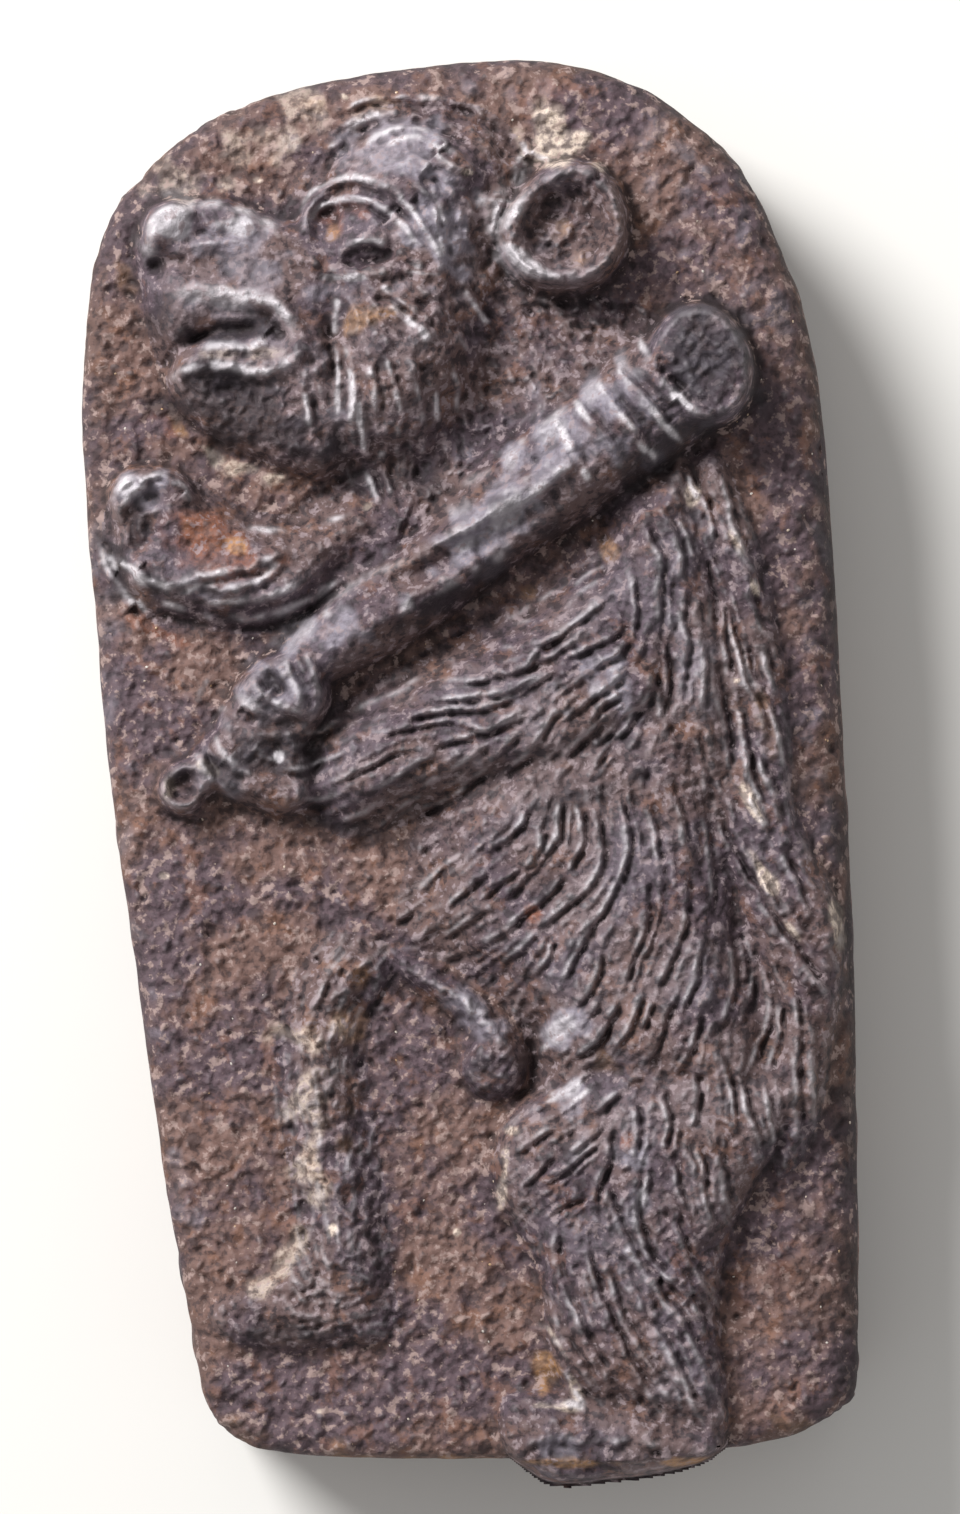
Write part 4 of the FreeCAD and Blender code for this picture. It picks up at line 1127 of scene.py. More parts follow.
        # Strands with strong pale crest lines: part wear, part painted highlight
        bright = [
            [753, 790, 760, 808, 766, 828], [785, 965, 806, 982, 826, 994], [828, 886, 835, 912, 842, 950],
            [689, 474, 692, 488, 694, 502], [648, 1162, 643, 1188, 638, 1216], [536, 1040, 552, 1026, 572, 1012],
            [540, 1052, 560, 1036, 578, 1022], [530, 1112, 556, 1096, 590, 1080], [540, 1122, 566, 1104, 596, 1090],
        ]
        under = [
            Stroke([395, 990, 425, 1004, 450, 1024, 462, 1040], 5.0, -0.3),
            Stroke([534, 1010, 536, 1040, 530, 1080, 515, 1104], 6.0, -0.4),
            Stroke([300, 842, 330, 850, 370, 846, 400, 850], 5.0, -0.2),
        ]
        return (
            strands(shoulder, 3.2, 0.15, 0.26, 0.55)
            + strands(back, 3.2, 0.17, 0.28, 0.6)
            + strands(body, 3.2, 0.15, 0.26, 0.6)
            + strands(ridge, 6.0, 0.2, 0.1, 0.4)
            + strands(bright, 3.4, 0.14, 0.1, 1.2)
            + under
        )

    def stains(self) -> list[Stain]:
        """The bright streaks of the flank, rust in the hair, and painted shade beside the belly ridge."""
        return (
            patches(Tint.LIME, [
                (765, 880, 10, 36, 1.5, -29), (754, 812, 9, 28, 1.3, -28), (792, 932, 9, 32, 1.2, -34),
                (836, 918, 9, 36, 1.5, -12), (754, 590, 7, 22, 1.2, -25), (736, 545, 6, 16, 1.1, -20),
                (692, 494, 7, 12, 1.2, 10), (510, 1130, 8, 6, 1.2),
            ])
            + patches(Tint.OCHRE, [
                (765, 740, 14, 80, 0.4, -8), (575, 855, 10, 14, 0.6), (600, 1060, 24, 20, 0.5),
                (610, 548, 12, 20, 0.6),
            ])
            + patches(Tint.RUST, [(532, 912, 14, 14, 1.0), (625, 1136, 12, 10, 0.9), (665, 1136, 10, 8, 0.7)])
            # Grey tone and painted sheen
            + patches(Tint.GRAPHITE, [
                (560, 1030, 30, 26, 1.0), (575, 1090, 44, 22, 0.8, -30), (470, 1010, 60, 26, 0.8, 40),
                (690, 640, 30, 130, 0.6),
            ])
            # Pale crests: part wear, part painted highlight
            + patches(Tint.CREST, [(558, 1030, 20, 16, 0.6, -30), (568, 1088, 34, 10, 0.7, -30)])
            # Painted shade beside the belly ridge and at the back's edge
            + patches(Tint.DARK, [(492, 1066, 34, 32, 0.8), (524, 1062, 16, 46, 0.6), (835, 980, 14, 60, 0.5)])
        )

    def fur(self) -> list[Fur]:
        """The fine hair of the shoulder, body and back."""
        return [
            Fur(["torso"], 20, 38, 2.8, 0.08, 41),
            Fur(["shoulder"], 20, 38, 2.8, 0.08, 42),
            Fur(["back_mane"], 20, 40, 2.8, 0.09, 43),
        ]


@dataclass
class Legs(Carved):
    """The thin near leg at the left and the shaggy leg at the right, with their feet."""

    def forms(self) -> list[Form | Bar | Cup]:
        """The two legs and the two feet."""
        return [
            Form("rear_leg", [
                528, 1098, 502, 1128, 492, 1160, 499, 1200, 514, 1225, 536, 1260, 543, 1310, 548, 1352, 562, 1384,
                600, 1398, 650, 1410, 700, 1432, 716, 1446, 728, 1420, 722, 1350, 720, 1300, 726, 1250, 746, 1200,
                772, 1160, 800, 1120, 806, 1080, 760, 1060, 680, 1050, 600, 1060,
            ], 0.82, 2.2, Flank.STEEP, (0.0, -0.05)),
            Form("rear_foot", [
                502, 1396, 498, 1430, 508, 1456, 526, 1474, 546, 1487, 572, 1490, 612, 1485, 660, 1479, 698, 1469,
                722, 1454, 724, 1436, 692, 1418, 645, 1404, 592, 1394, 562, 1384, 530, 1388,
            ], 0.88, 1.5),
            Form("front_leg", [
                332, 932, 372, 934, 402, 954, 390, 984, 374, 1015, 366, 1060, 374, 1120, 386, 1200, 392, 1280,
                400, 1330, 350, 1340, 300, 1332, 282, 1300, 288, 1270, 296, 1240, 292, 1200, 284, 1150, 276, 1100,
                274, 1050, 284, 1000, 304, 958,
            ], 0.92, 1.5, Flank.SOFT),
            Form("front_foot", [
                302, 1262, 270, 1280, 240, 1290, 215, 1300, 208, 1316, 225, 1338, 265, 1346, 300, 1348, 345, 1346,
                378, 1341, 384, 1320, 372, 1292, 342, 1276,
            ], 0.9, 0.7),
        ]

    def lumps(self) -> list[Lump]:
        """The toe hollow, the knee and the ankle."""
        return swellings([
            (550, 1452, 40, 16, 5, -0.35), (312, 1080, 30, 80, 5, 0.15), (640, 1160, 90, 50, 0, 0.15),
            (640, 1320, 30, 90, 0, 0.2), (270, 1312, 40, 14, -5, 0.15),
        ])

    def strokes(self) -> list[Stroke]:
        """The hair of the right leg and the lines of the feet and the left leg."""
        leg = [
            [590, 1115, 610, 1100, 620, 1090], [540, 1180, 560, 1168, 580, 1150, 600, 1138],
            [545, 1215, 560, 1200, 585, 1188], [590, 1202, 595, 1180, 602, 1162],
            [634, 1172, 634, 1213, 650, 1260, 687, 1295, 712, 1342],
            [599, 1172, 612, 1213, 632, 1254, 672, 1307, 712, 1385], [672, 1210, 680, 1240, 694, 1268, 712, 1290],
            [695, 1140, 700, 1170, 705, 1200, 718, 1230], [646, 1312, 674, 1362, 696, 1412],
            [720, 1050, 728, 1090, 735, 1120], [740, 1080, 750, 1120, 760, 1150], [765, 1080, 772, 1120, 775, 1145],
            [795, 1060, 798, 1100, 795, 1140], [581, 1232, 597, 1292, 630, 1360, 656, 1407],
            [606, 1262, 618, 1307, 642, 1350, 672, 1407], [556, 1219, 558, 1270, 582, 1330, 612, 1385],
            [552, 1300, 566, 1340, 588, 1378], [512, 1150, 530, 1140, 552, 1122], [520, 1185, 535, 1165, 556, 1148],
            [660, 1090, 664, 1120, 660, 1150], [690, 1070, 692, 1100, 688, 1128], [630, 1100, 634, 1130, 628, 1155],
            [670, 1160, 676, 1185, 684, 1205], [715, 1150, 722, 1180, 726, 1205], [610, 1130, 606, 1158, 598, 1180],
        ]
        heel = [[537, 1316, 560, 1342, 569, 1378, 590, 1407], [514, 1378, 532, 1405, 566, 1400, 588, 1407]]
        foot = [[520, 1442, 540, 1438, 565, 1434, 592, 1444], [600, 1440, 630, 1436, 665, 1440]]
        thin = [
            [308, 1010, 300, 1045, 300, 1085, 308, 1120], [352, 948, 330, 975, 314, 1010, 304, 1045],
            [374, 952, 350, 985, 334, 1022, 324, 1065], [388, 966, 366, 1000, 350, 1040, 342, 1090],
            [318, 1090, 322, 1130, 318, 1180],
        ]
        toes = [
            Stroke([232, 1312, 262, 1322, 300, 1326, 340, 1320], 3.6, -0.16),
            Stroke([238, 1288, 246, 1302, 250, 1318], 3.0, -0.14),
            Stroke([262, 1278, 270, 1296, 272, 1312], 3.0, -0.14),
            Stroke([545, 1462, 575, 1468, 610, 1464], 4.0, -0.2),
        ]
        return (
            strands(leg, 3.2, 0.15, 0.26, 0.55)
            + strands(heel, 4.0, 0.16, 0.12, 1.4)
            + strands(foot, 4.4, 0.14, 0.08, 0.4)
            + strands(thin, 3.6, 0.12, 0.1, 0.5)
            + toes
        )

    def stains(self) -> list[Stain]:
        """The pale knee and ankle, the ochre heel, the bright streak of the thigh (part painted highlight) and
        painted shade.
        """
        return (
            patches(Tint.LIME, [
                (304, 1045, 44, 90, 0.6, 6), (312, 1170, 28, 80, 0.56), (293, 1258, 18, 40, 0.65, 15),
                (262, 1288, 34, 12, 0.6, -16), (558, 1342, 7, 36, 1.1, -32), (574, 1384, 7, 24, 1.1, -18),
                (556, 1404, 44, 7, 1.1, 2), (505, 1168, 6, 48, 0.9, 8),
            ])
            + patches(Tint.OCHRE, [(330, 1000, 60, 70, 0.5), (340, 1150, 34, 60, 0.45), (544, 1370, 28, 30, 1.2)])
            # Painted shade under the front foot and beside the right leg
            + patches(Tint.DARK, [(276, 1332, 60, 10, 0.9, 3), (735, 1300, 14, 90, 0.4)])
            # Pale streak on the thigh: part wear, part painted highlight
            + patches(Tint.CREST, [(643, 1190, 12, 34, 1.0, 12)])
            # Grey tone and painted sheen of the right leg and foot
            + patches(Tint.GRAPHITE, [
                (640, 1200, 30, 60, 0.9), (600, 1160, 80, 50, 0.5), (660, 1340, 60, 80, 0.45),
                (560, 1445, 50, 24, 0.7),
            ])
        )

    def fur(self) -> list[Fur]:
        """The fine hair of the right leg."""
        return [Fur(["rear_leg"], 17, 36, 2.5, 0.06, 51, 0.2), Fur(["front_leg"], 15, 30, 2.6, 0.05, 52, 0.3)]


# The forms from the lowest to the highest: a later one covers an earlier one
DRAW_ORDER = [
    "front_foot", "rear_foot", "front_leg", "rear_leg", "back_mane", "torso", "belly_ridge", "shoulder", "neck",
    "raised_paw", "skull", "lower_jaw", "muzzle", "forearm", "club_shaft", "gripping_paw", "raised_claws", "brow",
    "eye", "nose", "ear", "club_head", "gripping_fingers", "club_butt",
]
OVERHANGING = "rear_foot"
FACE = 0

# How rough each part of the face is, as a share of the full unevenness. What isn't named has the full share
ROUGH_SHARES = {
    "muzzle": 0.8, "nose": 0.6, "club_shaft": 0.8, "brow": 0.7, "eye": 0.5, "raised_claws": 0.7, "neck": 1.5,
    "belly_ridge": 1.4, "front_leg": 1.3, "lower_jaw": 1.3, "ear": 1.6, "club_head": 1.3, "skull": 1.2,
}


class Lay:
    """The lay of the hair: its direction at any place, from the strokes that are drawn near it."""

    near_px_squared = 60.0

    def __init__(self, strokes: list[Stroke]) -> None:
        """Gathers the straight parts of the strokes.

        Args:
            strokes: the drawn strokes.
        """
        paths = [smooth_path(stroke.path, False, 2) for stroke in strokes]
        starts = np.concatenate([path[:-1] for path in paths])
        ends = np.concatenate([path[1:] for path in paths])
        run = ends - starts
        angle = 2 * np.arctan2(run[:, 1], run[:, 0])
        self.middles = (starts + ends) / 2
        self.doubled = np.stack([np.cos(angle), np.sin(angle)], 1)

    def at(self, points: np.ndarray) -> np.ndarray:
        """The direction of the hair.

        Args:
            points: places in pixels.

        Returns:
            A unit vector for each place, which may point either way along the hair.
        """
        off = points[:, None, :] - self.middles[None, :, :]
        weight = 1 / ((off**2).sum(2) + self.near_px_squared) ** 1.5
        doubled = weight @ self.doubled
        angle = np.arctan2(doubled[:, 1], doubled[:, 0]) / 2
        return np.stack([np.cos(angle), np.sin(angle)], 1)

    def strand_paths(self, seeds: np.ndarray, lengths: np.ndarray) -> np.ndarray:
        """Strands that follow the lay both ways from their seeds.

        Args:
            seeds: the middles of the strands in pixels.
            lengths: the lengths of the strands in pixels.

        Returns:
            Five points for each strand.
        """
        ways = {}
        for way in (-1, 1):
            place, heading = seeds, way * self.at(seeds)
            for step in (1, 2):
                place = place + heading * lengths[:, None] / 4
                ways[way * step] = place
                turn = self.at(place)
                heading = turn * np.sign((turn * heading).sum(1) + 1e-9)[:, None]
        return np.stack([ways[-2], ways[-1], seeds, ways[1], ways[2]], 1)


class Carving:
    """The carved face: its heights, the form that each corner belongs to, and its stains and painted light and shade.
    """

    # How far every edge is eased, and how wide the joins of bars and cups are
    soft_px = 4.2
    join_mm = 0.1
    # The slope at which a stroke is half as deep, squared
    calm_slope_squared = 1.6
    # The slope at which a flank begins to count as a wall, how much more makes it one, and how far its pale crests,
    # part wear and part painted highlight, fade
    wall_slope = 2.0
    wall_span = 2.4
    wall_shade = 0.85
    # The waver of strokes to their sides: depth and wave in pixels, and seed
    wavers = ((0.9, 7, 10), (1.2, 18, 11))
    # A stroke's flank away from its groove, its groove's place and width, all in ridge widths
    flank_widths = 2.6
    widest_flank_px = 9.5
    groove_place = 1.9
    groove_width = 0.8
    fade_share = 0.16
    # The stone's grain: depth in millimetres, wave in pixels, and seed. The pits also have their threshold and cap
    grain = ((0.044, 2.2, 1), (0.050, 4.5, 2), (0.036, 10, 3), (0.050, 26, 4))
    pits = ((0.10, 4, 5, 1.9, 1.5), (0.16, 8, 6, 2.2, 1.0))
    steepest_normal = 2.5
    # How often corners that touch are mended at most, and how far a bell and a cup are worked out, in radii
    mending_passes = 40
    bell_reach = 2.2
    cup_reach = 1.15

    def __init__(self, slab: Slab, groups: list[Carved], cell_px: float) -> None:
        """Lays out the bare face.

        Args:
            slab: the block that carries the carving.
            groups: the groups of carved forms.
            cell_px: the size of the field's cells in pixels.
        """
        self.slab = slab
        self.groups = groups
        self.grid = Field(cell_px)
        self.bare, self.inset = slab.ground(self.grid)
        self.height = self.bare.copy()
        self.label = np.full(self.grid.shape, FACE)
        self.detail = np.zeros(self.grid.shape)
        self.calm = np.ones(self.grid.shape)
        self.waver = np.zeros(self.grid.shape)
        self.wall = np.zeros(self.grid.shape)
        self.tints = {tint: np.zeros(self.grid.shape) for tint in Tint}

    def carve(self) -> None:
        """Raises the forms, cuts the hair, roughens the stone and lays the stains and painted light and shade."""
        self.raise_forms()
        self.swell()
        drawn = [stroke for group in self.groups for stroke in group.strokes()]
        self.draw(drawn, None)
        self.comb(drawn)
        self.roughen()
        self.colour()

    def labels_of(self, nodes: list[str]) -> list[int]:
        """The labels of some nodes."""
        return [DRAW_ORDER.index(node) + 1 for node in nodes]

    def raise_forms(self) -> None:
        """Raises every form from the face, lowest first."""
        forms = {form.node: form for group in self.groups for form in group.forms()}
        for label, node in enumerate(DRAW_ORDER, 1):
            form = forms[node]
            if isinstance(form, Form):
                window, mask, raised = self.form_height(form)
            elif isinstance(form, Bar):
                window, mask, raised = self.bar_height(form)
            else:
                window, mask, raised = self.cup_height(form)
            if node != OVERHANGING:
                mask = mask & (self.inset[window] > self.slab.lip_mm)
            self.height[window] = np.where(mask, raised, self.height[window])
            self.label[window] = np.where(mask, label, self.label[window])

    def floor(self, window: tuple[slice, slice]) -> np.ndarray:
        """The bare face in a window, held from sinking further than the foot reaches past the rim."""
        return np.clip(self.bare[window], -self.slab.overhang_mm, None)

    def form_height(self, form: Form) -> tuple[tuple[slice, slice], np.ndarray, np.ndarray]:
        """The face with one form raised on it.

        Args:
            form: the form.

        Returns:
            The window round the form, whether each corner there is in the form, and its height.
        """
        path = smooth_path(form.outline, True)
        flank_px = form.flank_mm * PX_PER_MM
        near = self.grid.measure(path, True, flank_px)
        x, y = self.grid.x[near.window], self.grid.y[near.window]
        mask = inside(x, y, path)
        share = np.where(mask, near.distance / flank_px, 0)
        rise_share = np.sqrt(1 - (1 - share) ** 2) if form.flank is Flank.STEEP else smoothstep(share)
        middle = path.mean(0)
        rise = node_rise(form.node) * form.rise_share
        rise = rise + form.tilt_mm[0] * (x - middle[0]) / 100 + form.tilt_mm[1] * (y - middle[1]) / 100
        shape = self.floor(near.window) * (1 - rise_share) + rise * rise_share
        return near.window, mask, joined(self.height[near.window], shape, form.blend_mm)

    def bar_height(self, bar: Bar) -> tuple[tuple[slice, slice], np.ndarray, np.ndarray]:
        """The face with a round bar raised on it.

        Args:
            bar: the bar.

        Returns:
            What form_height returns.
        """
        path = smooth_path(bar.axis, False)
        near = self.grid.measure(path, False, max(bar.half_widths) + 4)
        stations = np.linspace(0, 1, len(bar.half_widths))
        half = np.interp(near.along, stations, bar.half_widths)
        rise = np.interp(near.along, stations, bar.rise_shares) * node_rise(bar.node)
        share = np.clip(near.distance / half, 0, 1)
        mask = share < 1
        rise_share = np.sqrt(1 - share**2)
        shape = self.floor(near.window) * (1 - rise_share) + rise * rise_share
        return near.window, mask, joined(self.height[near.window], shape, self.join_mm)

    def cup_height(self, cup: Cup) -> tuple[tuple[slice, slice], np.ndarray, np.ndarray]:
        """The face with a round dished form on it.

        Args:
            cup: the dished form.

        Returns:
            What form_height returns.
        """
        window = self.grid.window(np.array([cup.centre]), max(cup.radii) * self.cup_reach)
        across, down = turned(self.grid.x[window], self.grid.y[window], cup.centre, cup.radii, cup.turn)
        angle = np.arctan2(down, across)
        wobble = 0.6 * np.sin(2 * angle + 0.6) + 0.4 * np.sin(3 * angle + 2.0)
        radius = np.hypot(across, down) * (1 + cup.wobble_share * wobble)
        radii, shares = np.array(cup.profile_shares).T
        shape = np.interp(radius, radii, shares) * node_rise(cup.node)
        brim = radii[shares.argmax()]
        raised = joined(self.height[window], shape, self.join_mm)
        return window, radius < 1, np.where(radius < brim, shape, raised)

    def swell(self) -> None:
        """Adds the swellings and hollows, each only on the forms of its own group, and eases every edge."""
        for group in self.groups:
            nodes = [form.node for form in group.forms()]
            own = np.isin(self.label, self.labels_of(nodes) if nodes else [FACE])
            for lump in group.lumps():
                window = self.grid.window(np.array([lump.centre]), self.bell_reach * max(lump.radii))
                shape = bell(self.grid.x[window], self.grid.y[window], lump.centre, lump.radii, lump.turn)
                self.height[window] += np.where(own[window], lump.rise_mm * shape, 0)
        raised = self.grid.blur(self.height - self.bare, self.soft_px)
        self.height = np.maximum(self.bare + raised, -self.slab.overhang_mm)
        down, across = np.gradient(self.height, self.grid.cell_mm)
        self.calm = 1 / (1 + (down**2 + across**2) / self.calm_slope_squared)
        self.wall = smoothstep((np.hypot(down, across) - self.wall_slope) / self.wall_span)
        self.waver = sum(depth * self.grid.noise(wave, seed) for depth, wave, seed in self.wavers)

    def draw(self, strokes: list[Stroke], mask: np.ndarray | None) -> None:
        """Carves strokes into the face.

        Args:
            strokes: the strokes.
            mask: where they may carve, or None for everywhere.
        """
        for stroke in strokes:
            path = smooth_path(stroke.path, False, 3)
            width = stroke.width_px
            slope = min(self.flank_widths * width, self.widest_flank_px)
            reach = max(4.0 * width, 2.5 * slope)
            near = self.grid.measure(path, False, reach + 2)
            beyond = np.clip(near.distance**2 - near.side**2, 0, None) / width**2
            ends = smoothstep(near.along / self.fade_share) * smoothstep((1 - near.along) / self.fade_share)
            side = near.side + self.waver[near.window]
            ridge = np.exp(-0.5 * (side / np.where(side < 0, slope, 0.9 * width)) ** 2)
            groove = np.exp(-0.5 * ((side - self.groove_place * width) / (self.groove_width * width)) ** 2)
            cut = (stroke.rise_mm * ridge - stroke.groove_mm * groove) * np.exp(-beyond) * (0.2 + 0.8 * ends)
            cut[near.distance >= reach] = 0
            cut *= self.calm[near.window]
            if mask is not None:
                cut = cut * mask[near.window]
            self.height[near.window] += cut
            # Pale line along the ridge, set toward its lit side: part wear, part painted highlight
            line = stroke.pale * np.exp(-0.5 * ((side + 0.3 * width) / (0.5 * width)) ** 2 - beyond)
            self.tints[Tint.CREST][near.window] = np.maximum(self.tints[Tint.CREST][near.window], line * ends)

    def comb(self, drawn: list[Stroke]) -> None:
        """Fills the haired forms with fine strands between the drawn ones.

        Args:
            drawn: the drawn strokes, whose lay the strands follow.
        """
        lay = Lay(drawn)
        for group in self.groups:
            for fur in group.fur():
                allowed = np.isin(self.label, self.labels_of(fur.nodes)).astype(float)
                soft = np.clip(self.grid.blur(allowed, 5) * 2 - 0.6, 0, 1) * allowed
                seeds, lengths, sizes = self.fur_seeds(fur, allowed)
                gaps = np.sqrt(((seeds[:, None] - lay.middles[None]) ** 2).sum(2)).min(1)
                free = gaps > 0.45 * fur.spacing_px
                paths = lay.strand_paths(seeds[free], lengths[free])
                rise = fur.rise_mm * sizes[free]
                self.draw([
                    Stroke(path.ravel().tolist(), fur.width_px, share, share, fur.pale)
                    for path, share in zip(paths, rise)
                ], soft)

    def fur_seeds(self, fur: Fur, allowed: np.ndarray) -> tuple[np.ndarray, np.ndarray, np.ndarray]:
        """Scattered middles for the strands of a patch.

        Args:
            fur: the patch.
            allowed: 1 at the corners that it may fill.

        Returns:
            The middles in pixels, the strands' lengths in pixels, and the size of each as a factor.
        """
        chance = np.random.default_rng(fur.seed)
        across = np.arange(FIELD_LOW_PX[0], FIELD_HIGH_PX[0], fur.spacing_px)
        down = np.arange(FIELD_LOW_PX[1], FIELD_HIGH_PX[1], fur.spacing_px)
        seeds = np.stack(np.meshgrid(across, down), -1).reshape(-1, 2)
        seeds = seeds + chance.uniform(-0.5, 0.5, seeds.shape) * fur.spacing_px
        seeds = seeds[self.grid.sample(allowed, seeds) > 0.5]
        lengths = fur.length_px * chance.uniform(0.6, 1.3, len(seeds))
        return seeds, lengths, chance.uniform(0.5, 1.35, len(seeds))

    def roughen(self) -> None:
        """Gives the stone its grain, its slow unevenness and its pits."""
        rough = np.ones(self.grid.shape)
        for label, node in enumerate(["slab"] + DRAW_ORDER):
            rough[self.label == label] = ROUGH_SHARES.get(node, 1.0)
        rough = self.grid.blur(rough, 5)
        grain = sum(depth * self.grid.noise(wave, seed) for depth, wave, seed in self.grain)
        pits = sum(
            depth * np.clip(self.grid.noise(wave, seed) - least, 0, most)
            for depth, wave, seed, least, most in self.pits
        )
        self.detail = (grain - pits) * rough
        self.height += self.detail

    def colour(self) -> None:
        """Lays the stains, and finds from the heights the pale crests, the painted sheen and the painted shade in
        hollows.
        """
        fine, coarse = self.grid.noise(7, 7), self.grid.noise(19, 8)
        # The pale crest lines, part wear and part painted highlight, broken up by noise
        self.tints[Tint.CREST] *= smoothstep(0.45 + 0.35 * self.grid.noise(5, 9) + 0.25 * coarse)
        for group in self.groups:
            for stain in group.stains():
                window = self.grid.window(np.array([stain.centre]), self.bell_reach * max(stain.radii))
                x, y = self.grid.x[window], self.grid.y[window]
                value = stain.strength * bell(x, y, stain.centre, stain.radii, stain.turn)
                broken = smoothstep((value - 0.32 + 0.30 * fine[window] + 0.16 * coarse[window]) / 0.55)
                layer = broken * min(1.0, stain.strength) * smoothstep(value * 6)
                self.tints[stain.tint][window] = np.maximum(self.tints[stain.tint][window], layer)
        carved = self.height - self.bare
        # Painted sheen: the high forms are laid greyer and lighter
        sheen = 0.24 * smoothstep((carved - 0.6) / 1.8) * smoothstep(0.6 + 0.5 * coarse)
        self.tints[Tint.GRAPHITE] = np.maximum(self.tints[Tint.GRAPHITE], sheen)
        relief = carved - self.grid.blur(carved, 4)
        hollow = carved - self.grid.blur(carved, 20)
        # Pale crests, part wear and part painted highlight: raised places laid lighter, less so on walls and in dark
        # places
        worn = 0.25 + 0.35 * self.tints[Tint.GRAPHITE]
        bright = smoothstep((relief - 0.03) / 0.12) * worn * self.calm * (1 - 0.6 * self.tints[Tint.DARK])
        crest = (bright + self.tints[Tint.CREST]) * (1 - self.wall_shade * self.wall)
        self.tints[Tint.CREST] = np.clip(crest, 0, 1)
        # Painted shade: darker where the face lies below its close and its wider surroundings
        cavity = smoothstep(-relief / 0.16) * 0.8 + np.clip(-hollow / 0.7, 0, 1) * 0.4
        self.tints[Tint.CAVITY] = np.clip(cavity, 0, 1)

    def cells(self) -> np.ndarray:
        """The label of each cell, or -1 where the face has none, with no two cells of a label that meet only
        at a corner."""
        label = self.label[:-1, :-1].copy()
        edge = self.inset
        lowest = np.minimum.reduce([edge[:-1, :-1], edge[1:, :-1], edge[:-1, 1:], edge[1:, 1:]])
        outer = lowest <= self.slab.lip_mm
        foot = DRAW_ORDER.index(OVERHANGING) + 1
        label[outer & (label != foot)] = -1
        label[[0, -1], :] = -1
        label[:, [0, -1]] = -1
        for _ in range(self.mending_passes):
            top_left, top_right = label[:-1, :-1], label[:-1, 1:]
            low_left, low_right = label[1:, :-1], label[1:, 1:]
            falling = (top_left == low_right) & (top_left != top_right) & (top_left != low_left)
            rising = (top_right == low_left) & (top_right != top_left) & (top_right != low_right)
            if not (falling | rising).any():
                break
            top_right[falling] = top_left[falling]
            top_left[rising & ~falling] = top_right[rising & ~falling]
        return label

    def normals(self) -> np.ndarray:
        """The direction out of the stone at each corner."""
        down, across = np.gradient(self.height, self.grid.cell_mm)
        ease = 1 / np.maximum(np.hypot(down, across) / self.steepest_normal, 1)
        out = np.stack([-across * ease, down * ease, np.ones(self.grid.shape)], -1)
        return out / np.linalg.norm(out, axis=-1)[..., None]


@dataclass
class Plate:
    """A closed piece of the carved face: its vertices, and its faces as loops with the start of each."""

    places: np.ndarray
    loops: np.ndarray
    starts: np.ndarray
    top_faces: int
    corners: np.ndarray


def cut_plate(carving: Carving, cells: np.ndarray, depth_mm: float) -> Plate:
    """Cuts a closed plate out of the carved face.

    Args:
        carving: the carved face.
        cells: which cells the plate has.
        depth_mm: how far under the flat of the face its underside lies.

    Returns:
        The plate.
    """
    grid = carving.grid
    row, column = np.nonzero(cells)
    width = grid.columns
    top_left = row * width + column
    quads = np.stack([top_left, top_left + width, top_left + width + 1, top_left + 1], 1)
    level = carving.height.ravel()[quads]
    falling = np.abs(level[:, 0] - level[:, 2]) <= np.abs(level[:, 1] - level[:, 3])
    halves = np.where(falling[:, None], quads[:, [0, 1, 2, 0, 2, 3]], quads[:, [0, 1, 3, 1, 2, 3]]).reshape(-1, 3)
    padded = np.pad(cells, 1)
    lacks = {
        (0, 1): ~padded[row + 1, column],
        (1, 2): ~padded[row + 2, column + 1],
        (2, 3): ~padded[row + 1, column + 2],
        (3, 0): ~padded[row, column + 1],
    }
    edges = np.concatenate([quads[lack][:, list(pair)] for pair, lack in lacks.items()])
    top_corners = np.unique(quads)
    rim_corners = np.unique(edges)
    top_index = np.full(grid.rows * width, -1)
    top_index[top_corners] = np.arange(len(top_corners))
    low_index = np.full(grid.rows * width, -1)
    low_index[rim_corners] = len(top_corners) + np.arange(len(rim_corners))
    skirts = np.stack([
        top_index[edges[:, 1]], top_index[edges[:, 0]], low_index[edges[:, 0]], low_index[edges[:, 1]],
    ], 1)
    unders = under_faces(cells, low_index.reshape(grid.shape))
    corners = np.concatenate([top_corners, rim_corners])
    x, y = grid.x.ravel()[corners], grid.y.ravel()[corners]
    height = carving.height.ravel()[corners].copy()
    height[len(top_corners):] = -depth_mm
    sizes = np.array([3] * len(halves) + [4] * len(skirts) + [len(face) for face in unders])
    loops = np.concatenate([top_index[halves].ravel(), skirts.ravel()] + unders)
    return Plate(to_metres(x, y, height), loops, np.concatenate([[0], np.cumsum(sizes)[:-1]]), len(halves), corners)


def under_faces(cells: np.ndarray, low_index: np.ndarray) -> list[np.ndarray]:
    """The flat underside of a plate, one face for each run of cells in a row.

    Args:
        cells: which cells the plate has.
        low_index: the index of the low vertex at each corner, or -1.

    Returns:
        The vertices of each face, facing down.
    """
    faces = []
    padded = np.pad(cells, ((0, 0), (1, 1))).astype(int)
    change = np.diff(padded, axis=1)
    for row in np.nonzero(cells.any(1))[0]:
        starts, ends = np.nonzero(change[row] == 1)[0], np.nonzero(change[row] == -1)[0]
        for start, end in zip(starts, ends):
            upper = low_index[row, start : end + 1]
            lower = low_index[row + 1, start : end + 1]
            faces.append(np.concatenate([upper[upper >= 0], lower[lower >= 0][::-1]]))
    return faces


